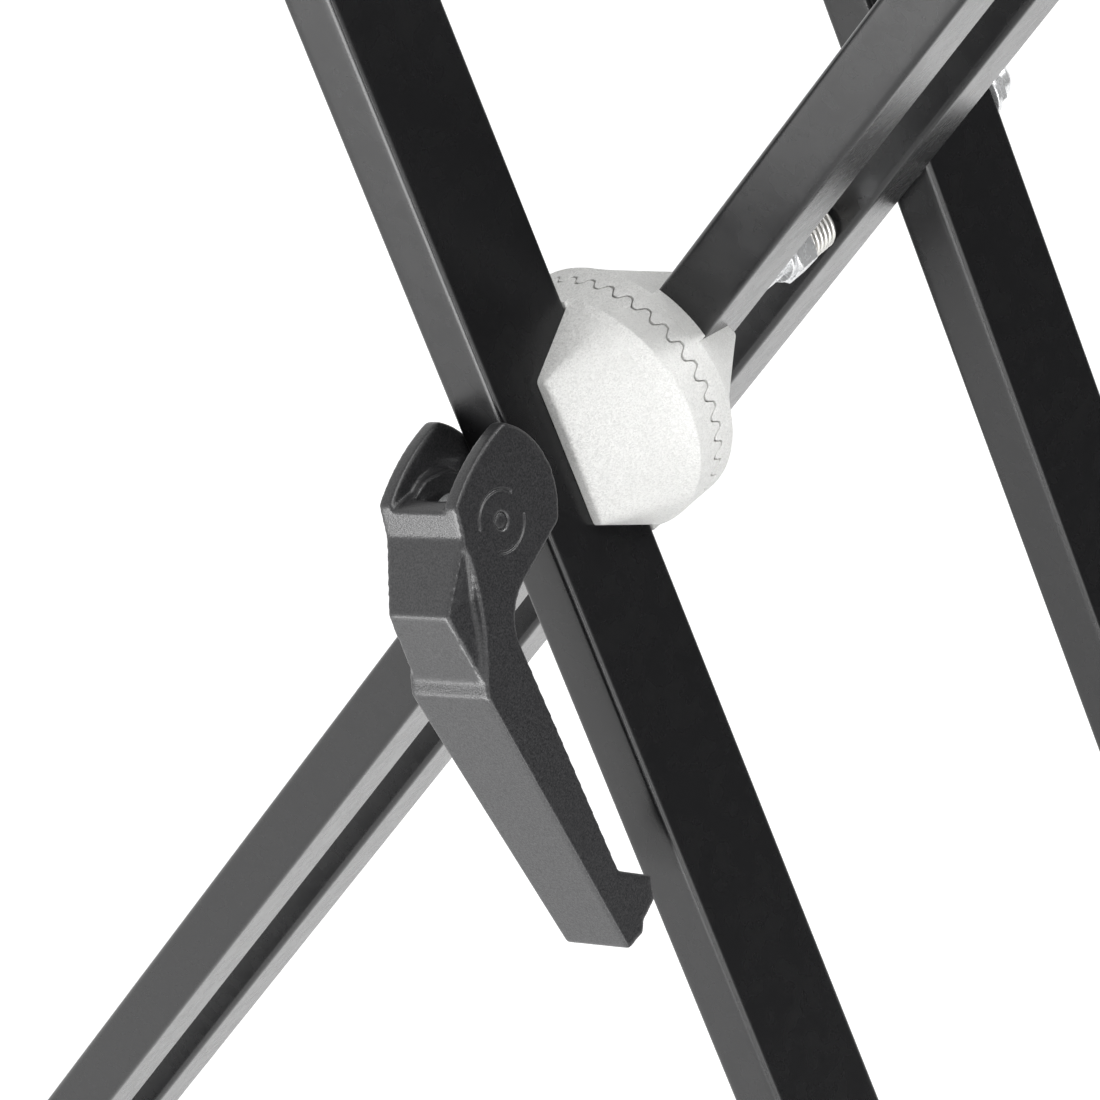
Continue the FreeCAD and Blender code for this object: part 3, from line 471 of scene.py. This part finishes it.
def grown(tree, result, slot, start=None, **sizes):
    """End a tree with its finish, run it on a mesh and return the bmesh that it gives."""
    whole = add(tree, "RealizeInstances", [("Geometry", result)]).outputs[0]
    coated = add(tree, "SetMaterial", [("Geometry", whole), ("Material", FINISHES[slot])]).outputs[0]
    add(tree, "GroupOutput", [(0, coated)])
    seed = bpy.data.objects.new(tree.name, start or bpy.data.meshes.new(tree.name))
    bpy.context.scene.collection.objects.link(seed)
    growth = seed.modifiers.new("growth", "NODES")
    growth.node_group = tree
    for item in tree.interface.items_tree:
        if item.in_out == "INPUT" and item.name in sizes:
            growth[item.identifier] = sizes[item.name]
    bpy.context.view_layer.update()
    mesh = bpy.data.meshes.new_from_object(seed.evaluated_get(bpy.context.evaluated_depsgraph_get()))
    bpy.data.objects.remove(seed)
    shape = bmesh.new()
    shape.from_mesh(mesh)
    return shape


# Clutch castings: a ring of teeth, two walls that grip the leg and the pad behind the leg.
CLUTCH_RADIUS, CLUTCH_DEPTH, RIM_FRONT, TOOTH_LINE = 30.4, 16.9, 2.25, 9.15
TEETH, TOOTH_HEIGHT, TOOTH_GAP = 36, 2.4, 0.6
RECESS_RADIUS, RECESS_DEPTH, AXLE_BORE = 21.5, 1.9, 4.07
WALL_TOP, WALL_INSIDE, WALL_OUTSIDE, WALL_HALF = -16.5, 7.5, 10.5, 18.4
SHOULDER_CORNER, SHOULDER_REACH, SHOULDER_FOOT, RIM_CORNER = (18.6, 21.6), 24.8, 27.8, 22.6
WALL_ROOT, PAD_REACH, PAD_PLAY = 3.8, 30.42, 0.05
# The walls stand this far outside the ring, so that their sides are not one surface.
RIM_PROUD = 0.02
# Corners along a wall are eased over this many columns, at its top edge and at its shoulder.
TOP_EASE, SHOULDER_EASE = 10, 6
# The band under the shoulder narrows from this share of the rim's corner on, over this length.
MELT_START, MELT_LENGTH, MELTED = 0.78, 0.24, 0.85
# The flat top of a wall starts this far from the leg and takes this share of its length.
CAP_INSET, CAP_LENGTH = 0.5, 0.86


def tooth_sector(tooth_line, columns=20):
    """One tooth's slice of the ring, from the bore over the rim and back."""
    pitch = 2 * math.pi / TEETH
    root = tooth_line - (TOOTH_GAP + TOOTH_HEIGHT) / 2
    rows = []
    for number in range(columns + 1):
        angle = pitch * (number / columns - 0.5)
        wave = math.cos(2 * math.pi * (number / columns - 0.5))
        # A wave with rounder tips and steeper sides than a sine, as the cast teeth have.
        crest = root + TOOTH_HEIGHT * (0.5 + 0.75 * wave - 0.25 * wave ** 3)
        floor = root - RECESS_DEPTH
        profile = [(AXLE_BORE, RIM_FRONT, 0.3), (CLUTCH_RADIUS, RIM_FRONT, 0.5),
                   (CLUTCH_RADIUS, crest, 0.22), (RECESS_RADIUS, crest, 0.2),
                   (RECESS_RADIUS, floor, 0.3), (AXLE_BORE, floor, 0.3)]
        rows.append([(radius * math.cos(angle), along, radius * math.sin(angle))
                     for radius, along in softened(profile)])
    shape = bmesh.new()
    grid(shape, rows, True)
    mesh = bpy.data.meshes.new("tooth_sector")
    shape.to_mesh(mesh)
    shape.free()
    return mesh


def tooth_ring_tree():
    """Set one tooth's slice round the axle, tooth after tooth."""
    tree, given = new_tree("toothed_ring", Teeth=TEETH, First=0.0)
    row = add(tree, "MeshLine", [("Count", given["Teeth"]), ("Offset", (0, 0, 0))]).outputs["Mesh"]
    step = add(tree, "Math", [(0, 2 * math.pi), (1, given["Teeth"])], operation="DIVIDE").outputs[0]
    turn = add(tree, "Math", [(0, add(tree, "InputIndex").outputs[0]), (1, step), (2, given["First"])],
               operation="MULTIPLY_ADD").outputs[0]
    turn = add(tree, "Math", [(0, turn), (1, -1)], operation="MULTIPLY").outputs[0]
    teeth = add(tree, "InstanceOnPoints", [
        ("Points", row), ("Instance", given["Geometry"]),
        ("Rotation", add(tree, "CombineXYZ", [("Y", turn)]).outputs[0])]).outputs[0]
    return tree, teeth


def eased(points, window):
    """Running mean along a row of points, which rounds its corners."""
    result = []
    for number in range(len(points)):
        near = min(window, number, len(points) - 1 - number)
        group = points[number - near:number + near + 1]
        result.append(sum(group, Vector((0, 0))) / len(group))
    return result


def wall_outlines(columns=168):
    """Outer side of a wall, end to end, at its top edge, its shoulder and the rim: (across, along)."""
    corner_angle = math.asin(RIM_CORNER / CLUTCH_RADIUS)
    foot_angle = math.acos(WALL_INSIDE / CLUTCH_RADIUS)
    rise = SHOULDER_REACH - SHOULDER_CORNER[0]
    bow = (SHOULDER_CORNER[1] ** 2 + rise ** 2) / (2 * rise)
    bow_angle = math.asin(SHOULDER_CORNER[1] / bow)
    top, shoulder, rim = [], [], []
    for number in range(columns + 1):
        angle = foot_angle * (1 - 2 * number / columns)
        rim.append(Vector((math.cos(angle), math.sin(angle))) * (CLUTCH_RADIUS + RIM_PROUD))
        share = angle / corner_angle
        if abs(share) <= 1:
            top.append(Vector((WALL_OUTSIDE, WALL_HALF * share)))
            shoulder.append(Vector((SHOULDER_REACH - bow + bow * math.cos(bow_angle * share),
                                    bow * math.sin(bow_angle * share))))
        else:
            end = math.copysign(1, angle)
            share = (abs(angle) - corner_angle) / (foot_angle - corner_angle)
            top.append(Vector((WALL_OUTSIDE, WALL_HALF * end)).lerp(
                Vector((WALL_INSIDE, WALL_HALF * end)), share))
            shoulder.append(Vector((SHOULDER_CORNER[0], SHOULDER_CORNER[1] * end)).lerp(
                Vector((WALL_INSIDE, SHOULDER_FOOT * end)), share))
    return eased(top, TOP_EASE), eased(shoulder, SHOULDER_EASE), rim


def clutch_wall(shape, side, inner_columns=24):
    """Closed shell of one wall: its flat top edge, its flank, its shoulder and its root in the ring."""
    paths = []
    foot = math.sqrt(CLUTCH_RADIUS ** 2 - WALL_INSIDE ** 2)
    for top, shoulder, rim in zip(*wall_outlines()):
        top, shoulder, rim = [Vector((x, y, z)) for (x, z), y in
                              ((top, WALL_TOP), (shoulder, 0), (rim, RIM_FRONT))]
        # The band between shoulder and rim is a crescent that ends at the corners.
        melt = min(max((abs(rim.z) / RIM_CORNER - MELT_START) / MELT_LENGTH, 0), 1)
        melt = melt * melt * (3 - 2 * melt)
        shoulder = shoulder.lerp(top.lerp(rim, MELTED), melt)
        paths.append([(*top, 1.7), (*shoulder, 0.7), (*rim, 0.7), (rim.x, WALL_ROOT, rim.z, 0)])
    for number in range(1, inner_columns):
        share = 2 * number / inner_columns - 1
        paths.append([(WALL_INSIDE, WALL_TOP, WALL_HALF * share, 0.7),
                      (WALL_INSIDE, 0, SHOULDER_FOOT * share, 0.1),
                      (WALL_INSIDE, RIM_FRONT, foot * share, 0.1), (WALL_INSIDE, WALL_ROOT, foot * share, 0)])
    lines = []
    for path in paths:
        cap = (WALL_INSIDE + CAP_INSET, WALL_TOP, path[0][2] * CAP_LENGTH, 0)
        line = softened([cap] + path, 6, closed=False)
        lines.append([Vector((side * x, y, z)) for x, y, z in line])
    made = grid(shape, list(zip(*lines)), True)
    for loop in (made[0], made[-1]):
        shape.faces.new(loop)


def clutch_pad(shape, steps=8):
    """Pad between the walls, which the back of the leg lies on."""
    half = WALL_INSIDE - PAD_PLAY
    across = [half * step / steps for step in range(-steps, steps + 1)]
    outline = [Vector((x, math.sqrt(PAD_REACH ** 2 - x ** 2))) for x in across]
    outline += [-point for point in outline]
    made = grid(shape, [[(x, y, z) for x, z in outline] for y in (0, WALL_ROOT)], True)
    for loop in made:
        shape.faces.new(loop)


def clutch_half(node, place, tooth_line):
    tree, teeth = tooth_ring_tree()
    first = math.pi / TEETH / 2 - LEAN
    ring = grown(tree, teeth, "clutch_silver", tooth_sector(tooth_line), First=first)
    clutch_pad(ring)
    stand_in(node + "_ring", ring, node, "clutch_silver", place)
    walls = bmesh.new()
    for side in (1, -1):
        clutch_wall(walls, side)
    stand_in(node + "_walls", walls, node, "clutch_silver", place, sharp=50)


clutch_front = reach("outer_leg_front")[1]
clutch_back = INNER @ spot(0, clutch_front + CLUTCH_DEPTH, 0) @ Matrix.Rotation(math.pi, 4, "Z")
clutch_half("clutch_half_front", OUTER @ spot(0, clutch_front, 0), TOOTH_LINE)
clutch_half("clutch_half_rear", clutch_back, CLUTCH_DEPTH - TOOTH_LINE)


# Cam lever: one die casting, whose edges are all rounded as the mould leaves them.
PIN_OUT, LEVER_HALF_WIDTH = 15, 12.2
GROOVE_RADIUS, GROOVE_HALF_WIDTH, GROOVE_DEPTH = 7.0, 0.42, 0.4
GROOVE_ENDS, GROOVE_MARGIN = ((105, 233), (-71, 34)), 1.3
BROW, CHEEK_TOP, BROW_BOW, BOW_DEPTH = Vector((-9.8, 25.7)), Vector((-18.5, 3.8)), 1.5, 5
HANDLE_START, HANDLE_END, HANDLE_SLOPE, HANDLE_TAPER = -31.9, -106.2, 11.7, 2.4
VOXEL, SMOOTHINGS = 0.42, 9


def groove_depth(down, out):
    """How deep the two arc grooves round the pin are at a place on a cheek."""
    radius = math.hypot(down, out)
    angle = math.degrees(math.atan2(out, down))
    depth = 0.0
    for start, end in GROOVE_ENDS:
        halfway = (start + end) / 2
        beyond = abs((angle - halfway + 180) % 360 - 180) - (end - start) / 2
        away = math.hypot(radius - GROOVE_RADIUS, max(0.0, math.radians(beyond)) * GROOVE_RADIUS)
        depth = max(depth, GROOVE_DEPTH * max(0.0, 1 - (away / GROOVE_HALF_WIDTH) ** 2))
    return depth


def cast_grooves(shape, pin_y):
    """Divide the cheeks round the pin finely and press the arc grooves into them."""
    def near_groove(vert):
        radius = math.hypot(vert.co.y - pin_y, vert.co.z)
        return abs(vert.co.x) > LEVER_HALF_WIDTH - 0.2 and abs(radius - GROOVE_RADIUS) < GROOVE_MARGIN
    band = {edge for edge in shape.edges if all(near_groove(vert) for vert in edge.verts)}
    bmesh.ops.subdivide_edges(shape, edges=list(band), cuts=3, use_grid_fill=True)
    for vert in shape.verts:
        if near_groove(vert):
            depth = groove_depth(-vert.co.z, pin_y - vert.co.y)
            vert.co.x -= math.copysign(depth, vert.co.x)


def bow_cheek_tops(shape, leg_front):
    """Bow the top edges of both cheeks outwards, as down along the leg and out from it."""
    along = (CHEEK_TOP - BROW).normalized()
    outward = Vector((along.y, -along.x))
    for vert in shape.verts:
        from_brow = Vector((-vert.co.z, leg_front - vert.co.y)) - BROW
        share = from_brow.dot(along) / (CHEEK_TOP - BROW).length
        inside = 1 + from_brow.dot(outward) / BOW_DEPTH
        if 0 < share < 1 and inside > 0:
            push = outward * BROW_BOW * 4 * share * (1 - share) * min(inside, 1)
            vert.co.z -= push.x
            vert.co.y -= push.y


def warp_handle(shape, way):
    """Make the handle's front edges parallel to the leg (way 1), or give them back their slope (-1)."""
    for vert in shape.verts:
        share = max(0.0, (vert.co.z - HANDLE_START) / (HANDLE_END - HANDLE_START))
        vert.co.x *= (1 - share * HANDLE_TAPER / LEVER_HALF_WIDTH) ** -way
        vert.co.y -= way * share * HANDLE_SLOPE


def lever_casting(node):
    """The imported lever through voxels, which follow its straight edges best when these lie along them."""
    shape = bmesh.new()
    shape.from_mesh(frame["nodes"][node].data)
    bmesh.ops.remove_doubles(shape, verts=shape.verts, dist=0.003 * MM)
    shape.transform(OUTER.inverted() @ Matrix.Scale(1 / MM, 4))
    whole = list(shape.verts) + list(shape.edges) + list(shape.faces)
    bmesh.ops.bisect_plane(shape, geom=whole, dist=0.001, plane_co=(0, 0, HANDLE_START),
                           plane_no=(0, 0, 1))
    warp_handle(shape, 1)
    mesh = bpy.data.meshes.new("lever_blank")
    shape.to_mesh(mesh)
    shape.free()
    blank = bpy.data.objects.new("lever_blank", mesh)
    bpy.context.scene.collection.objects.link(blank)
    skin = blank.modifiers.new("skin", "REMESH")
    skin.mode = "VOXEL"
    skin.voxel_size = VOXEL
    bpy.context.view_layer.update()
    cast = bpy.data.meshes.new_from_object(blank.evaluated_get(bpy.context.evaluated_depsgraph_get()))
    bpy.data.objects.remove(blank)
    shape = bmesh.new()
    shape.from_mesh(cast)
    for _ in range(SMOOTHINGS):
        bmesh.ops.smooth_vert(shape, verts=shape.verts, factor=0.5, use_axis_x=True, use_axis_y=True,
                              use_axis_z=True)
    warp_handle(shape, -1)
    leg_front = reach("cam_seat")[1]
    bow_cheek_tops(shape, leg_front)
    cast_grooves(shape, leg_front - PIN_OUT)
    return stand_in(node + "_casting", shape, node, "lever_grey", OUTER, sharp=70)


lever_casting("cam_lever")


# Axle line.
AXLE_RADIUS, EYE_RADIUS, EYE_HALF, EYE_BORE, SHANK_OUT = 4, 6, 3.5, 1.95, 10.8
THREAD_PITCH, THREAD_DEPTH, THREAD_LEAD, THREAD_END = 1.25, 0.65, 1, 30
NUT_FLAT, NUT_CHAMFER, NUT_LIP = 6.5, math.radians(28), 0.5
DOMED_HEXAGON, DOME_RADIUS, DOME_HEIGHT, DOME_SKIRT = 3.4, 5.7, 3.5, 4.3
PIN_HALF, PIN_RADIUS, PIN_END, KNURLS, KNURL_DEPTH = 11.9, 1.9, 1.55, 24, 0.16
SEAT_HALF, SEAT_CORNER, SEAT_RELIEF, SEAT_EDGE = 7.5, 1.2, 0.25, 0.3


def ring_piece(node, slot, inner, outer, edge, label):
    start, end = reach(node)
    shape = turned(bmesh.new(), [(start, inner, edge / 2), (end, inner, edge / 2), (end, outer, edge),
                                 (start, outer, edge)])
    return stand_in(node + label, shape, node, slot, spot(0, 0, pivot.z))


ring_piece("axle_spacer", "zinc_steel", AXLE_BORE, 4.4, 0.1, "_tube")
ring_piece("axle_washer", "zinc_steel", AXLE_RADIUS, 6.0, 0.35, "_plate")
ring_piece("rear_washer", "zinc_steel", AXLE_RADIUS, 8, 0.35, "_plate")
ring_piece("thrust_washer", "washer_nylon", AXLE_BORE, 7.0, 0.25, "_plate")


def hexagon_columns(start, end, segments=144):
    """Outlines round a chamfered hexagon nut, each from one edge of the bore to the other."""
    bore = AXLE_RADIUS
    corner = NUT_FLAT / math.cos(math.pi / 6) * 0.985
    flat_end = NUT_FLAT * 0.96
    columns = []
    for number in range(segments):
        angle = 2 * math.pi * number / segments
        within = (angle % (math.pi / 3)) - math.pi / 6
        radius = min(NUT_FLAT / math.cos(within), corner)
        drop = max(0.0, (radius - flat_end) * math.tan(NUT_CHAMFER))
        column = [(start + NUT_LIP, bore), (start, bore + NUT_LIP), (start, flat_end), (start + drop, radius),
                  (end - drop, radius), (end, flat_end), (end, bore + NUT_LIP), (end - NUT_LIP, bore)]
        columns.append([(radius_here * math.cos(angle), along, radius_here * math.sin(angle))
                        for along, radius_here in column])
    return columns


def nut(node, label):
    start, end = reach(node)
    shape = bmesh.new()
    grid(shape, hexagon_columns(start, end), True, True)
    return stand_in(node + label, shape, node, "zinc_steel", spot(0, 0, pivot.z), sharp=24)


nut("axle_nut", "_hexagon")


def domed_nut(node, steps=12):
    start, end = reach(node)
    hexagon_end = start + DOMED_HEXAGON
    skirt_end = end - DOME_SKIRT
    shape = bmesh.new()
    grid(shape, hexagon_columns(start, hexagon_end), True, True)
    dome = [(hexagon_end - 1.5, 0, 0), (hexagon_end - 1.5, DOME_RADIUS, 0), (skirt_end, DOME_RADIUS, 0.5)]
    for step in range(1, steps + 1):
        angle = math.pi / 2 * step / steps
        dome.append((skirt_end + DOME_HEIGHT * math.sin(angle), DOME_RADIUS * math.cos(angle), 0))
    turned(shape, dome, closed=False)
    return stand_in(node + "_dome", shape, node, "zinc_steel", spot(0, 0, pivot.z), sharp=24)


domed_nut("rear_nut")


def threaded(start, end, segments=40, rows_per_turn=8):
    """Rows of a screw thread along Y, which fades in and out over its first and last turn."""
    rows = []
    count = round((end - start) / THREAD_PITCH * rows_per_turn)
    for number in range(count + 1):
        along = start + (end - start) * number / count
        row = []
        for step in range(segments):
            share = step / segments
            phase = ((along - start) / THREAD_PITCH - share) % 1
            fade = min(1, (along - start) / THREAD_PITCH, (end - along) / THREAD_PITCH)
            radius = AXLE_RADIUS - THREAD_DEPTH * fade * (1 - abs(2 * phase - 1))
            angle = 2 * math.pi * share
            row.append((radius * math.cos(angle), along, radius * math.sin(angle)))
        rows.append(row)
    return rows


def axle(node):
    """Eye for the lever's pin, plain shank, thread under the nut and spring, and plain end."""
    end = reach(node)[1]
    leg_front = reach("cam_seat")[1]
    shape = turned(bmesh.new(), [(-EYE_HALF, EYE_BORE, 0.2), (EYE_HALF, EYE_BORE, 0.2),
                                 (EYE_HALF, EYE_RADIUS, 0.6), (-EYE_HALF, EYE_RADIUS, 0.6)])
    shape.transform(spot(0, leg_front - PIN_OUT, 0) @ Matrix.Rotation(math.pi / 2, 4, "Z"))
    shank_start = leg_front - SHANK_OUT
    thread_start = reach("axle_nut")[0] - THREAD_LEAD
    turned(shape, [(shank_start, 0, 0), (shank_start, AXLE_RADIUS, 0.3), (thread_start, AXLE_RADIUS, 0),
                   (thread_start, 0, 0)], 40, closed=False)
    grid(shape, threaded(thread_start, THREAD_END), True)
    turned(shape, [(THREAD_END, 0, 0), (THREAD_END, AXLE_RADIUS, 0), (end, AXLE_RADIUS, 0.6), (end, 0, 0)],
           40, closed=False)
    return stand_in(node + "_bolt", shape, node, "zinc_steel", OUTER, sharp=50)


axle("clutch_axle")


def lever_pin(node, segments=120):
    """Pin whose knurled ends bite in the cheeks."""
    end_outline = [(PIN_HALF - 2.4, PIN_RADIUS, 0), (PIN_HALF - 2.4, PIN_RADIUS, 1),
                   (PIN_HALF - 0.15, PIN_RADIUS, 1.6), (PIN_HALF, PIN_END, 0), (PIN_HALF, 0.0, 0)]
    outline = [(-along, radius, knurled) for along, radius, knurled in reversed(end_outline)] + end_outline
    rows = []
    for along, radius, knurled in outline:
        row = []
        for number in range(segments):
            angle = 2 * math.pi * number / segments
            dip = KNURL_DEPTH * knurled * (0.5 + 0.5 * math.cos(angle * KNURLS))
            row.append(((radius - dip) * math.cos(angle), along, (radius - dip) * math.sin(angle)))
        rows.append(row)
    shape = bmesh.new()
    grid(shape, rows, True)
    turn = Matrix.Rotation(math.pi / 2, 4, "Z")
    eye = spot(0, reach("cam_seat")[1] - PIN_OUT, 0)
    return stand_in(node + "_rod", shape, node, "lever_grey", OUTER @ eye @ turn)


lever_pin("lever_pin")


def cam_seat(node):
    """Pressed steel pad that the cams bear on, with a hair of room for their noses."""
    start, end = reach(node)
    start += SEAT_RELIEF
    corners = ((1, -1), (1, 1), (-1, 1), (-1, -1))
    outline = softened([(SEAT_HALF * x, SEAT_HALF * z, SEAT_CORNER) for x, z in corners], 5)
    bore = [Vector((x, z)).normalized() * AXLE_BORE for x, z in outline]
    rows = [[(x, end, z) for x, z in bore], [(x, end, z) for x, z in outline],
            [(x, start + SEAT_EDGE, z) for x, z in outline],
            [(x * 0.965, start, z * 0.965) for x, z in outline], [(x, start, z) for x, z in bore]]
    shape = bmesh.new()
    grid(shape, rows, True, True)
    return stand_in(node + "_pad", shape, node, "zinc_steel", OUTER)


cam_seat("cam_seat")


# The release spring: a curve spiral with a wire swept along it, wound by Geometry Nodes.
SPRING_WIRE, SPRING_RADIUS, SPRING_TURNS = 0.6, 5.5, 5.75


def wound_spring(node):
    start, end = reach(node)
    tree, given = new_tree("release_spring_winding", Turns=SPRING_TURNS, Radius=SPRING_RADIUS,
                           Wire=SPRING_WIRE, Length=end - start - 2 * SPRING_WIRE)
    coil = add(tree, "CurveSpiral", [("Resolution", 48), ("Rotations", given["Turns"]),
                                     ("Start Radius", given["Radius"]), ("End Radius", given["Radius"]),
                                     ("Height", given["Length"])]).outputs["Curve"]
    section = add(tree, "CurvePrimitiveCircle", [("Resolution", 16),
                                                 ("Radius", given["Wire"])]).outputs["Curve"]
    swept = add(tree, "CurveToMesh", [("Curve", coil), ("Profile Curve", section), ("Fill Caps", True)])
    shape = grown(tree, swept.outputs["Mesh"], "spring_wire")
    turn = Matrix.Rotation(-math.pi / 2, 4, "X")
    return stand_in(node + "_coil", shape, node, "spring_wire",
                    spot(0, start + SPRING_WIRE, pivot.z) @ turn)


wound_spring("release_spring")


# Studio: pale floor, soft lamps, and the camera at the photograph's angle.
def seen_directly(tree):
    """One for what the camera, a reflection or clear glass shows, nought for light on the object."""
    path = add(tree, "LightPath")
    seen = add(tree, "Math", [(0, path.outputs["Is Camera Ray"]), (1, path.outputs["Is Glossy Ray"])],
               operation="MAXIMUM").outputs[0]
    return add(tree, "Math", [(0, seen), (1, path.outputs["Is Transmission Ray"])],
               operation="MAXIMUM").outputs[0]


def white_world():
    world = bpy.data.worlds.new("studio")
    bpy.context.scene.world = world
    world.use_nodes = True
    tree = world.node_tree
    shade = add(tree, "Mix", [("Factor", seen_directly(tree)), ("A", srgb("#5c5c5c")),
                              ("B", srgb("#ffffff"))], data_type="RGBA")
    tree.links.new(shade.outputs["Result"], tree.nodes["Background"].inputs["Color"])


def studio_sheet(name, size, place, material):
    """Flat square of the studio, in metres: no part of the stand."""
    shape = bmesh.new()
    bmesh.ops.create_grid(shape, x_segments=1, y_segments=1, size=size)
    shape.transform(place)
    mesh = bpy.data.meshes.new(name)
    shape.to_mesh(mesh)
    shape.free()
    mesh.materials.append(material)
    sheet = bpy.data.objects.new(name, mesh)
    bpy.context.scene.collection.objects.link(sheet)
    return sheet


def paper_floor():
    # White seamless paper: matt; lifted to white where it is seen, and it keeps the shadow.
    material, tree, shader, place = new_finish("white_seamless_paper", "#dedede", 0.9)
    away = add(tree, "VectorMath", [(0, place)], operation="LENGTH").outputs["Value"]
    lift = add(tree, "MapRange", [("Value", away), ("From Min", 0.9), ("From Max", 2.6),
                                  ("To Min", 0.62), ("To Max", 1.0)]).outputs["Result"]
    glow = add(tree, "Math", [(0, seen_directly(tree)), (1, lift)], operation="MULTIPLY").outputs[0]
    shader.inputs["Emission Color"].default_value = srgb("#ffffff")
    join(tree, shader, "Emission Strength", glow)
    studio_sheet("studio_floor", 14, Matrix(), material)


def dark_card():
    """Black studio card at the right, out of view, which keeps the sides of the tubes dark."""
    place = Vector((1.2, 1.0, 0.45))
    facing = (pivot * MM - place).to_track_quat("Z", "Y").to_matrix().to_4x4()
    material = new_finish("black_card", "#101010", 0.9)[0]
    card = studio_sheet("dark_card", 0.92, Matrix.Translation(place) @ facing, material)
    card.visible_camera = False


def soft_lamp(name, place, width, height, power):
    lamp = bpy.data.lights.new(name, "AREA")
    lamp.shape = "RECTANGLE"
    lamp.size, lamp.size_y = width, height
    lamp.energy = power
    thing = bpy.data.objects.new(name, lamp)
    bpy.context.scene.collection.objects.link(thing)
    thing.location = place
    thing.rotation_euler = (pivot * MM - Vector(place)).to_track_quat("-Z", "Y").to_euler()
    thing.visible_camera = False


def photograph_camera():
    """Camera found by fitting the photograph's tube edges."""
    turn, tilt, roll = (math.radians(angle) for angle in (36.562, 41.381, 1.187))
    back = Vector((math.sin(turn) * math.cos(tilt), -math.cos(turn) * math.cos(tilt), math.sin(tilt)))
    right = Vector((math.cos(turn), math.sin(turn), 0))
    up = back.cross(right)
    level = right * math.cos(roll) + up * math.sin(roll)
    upright = up * math.cos(roll) - right * math.sin(roll)
    target = Vector((0, reach("outer_leg_front")[1], pivot.z))
    left, down, distance = 8.042, 30.005, 1235.150
    place = target - level * left - upright * down + back * distance
    lens = bpy.data.cameras.new("photograph")
    lens.lens = 179.403
    lens.sensor_width = 36
    lens.clip_start = 0.05
    lens.clip_end = 60
    camera = bpy.data.objects.new("photograph", lens)
    bpy.context.scene.collection.objects.link(camera)
    turned_to = Matrix((level, upright, back)).transposed().to_4x4()
    camera.matrix_world = Matrix.Translation(place * MM) @ turned_to
    bpy.context.scene.camera = camera


white_world()
paper_floor()
dark_card()
soft_lamp("low_front_lamp", (-0.2, -1.35, 0.14), 1.5, 0.5, 31)
soft_lamp("strip_lamp", (1.55, -1.5, 0.55), 0.2, 1.2, 10.5)
soft_lamp("right_lamp", (2.0, -0.6, 0.5), 0.6, 0.9, 8)
soft_lamp("top_lamp", (0.5, -0.3, 2.7), 1.6, 1.6, 31)
soft_lamp("back_lamp", (1.1, 1.4, 2.0), 0.9, 0.9, 27)
photograph_camera()
bpy.context.scene.view_settings.view_transform = "Standard"
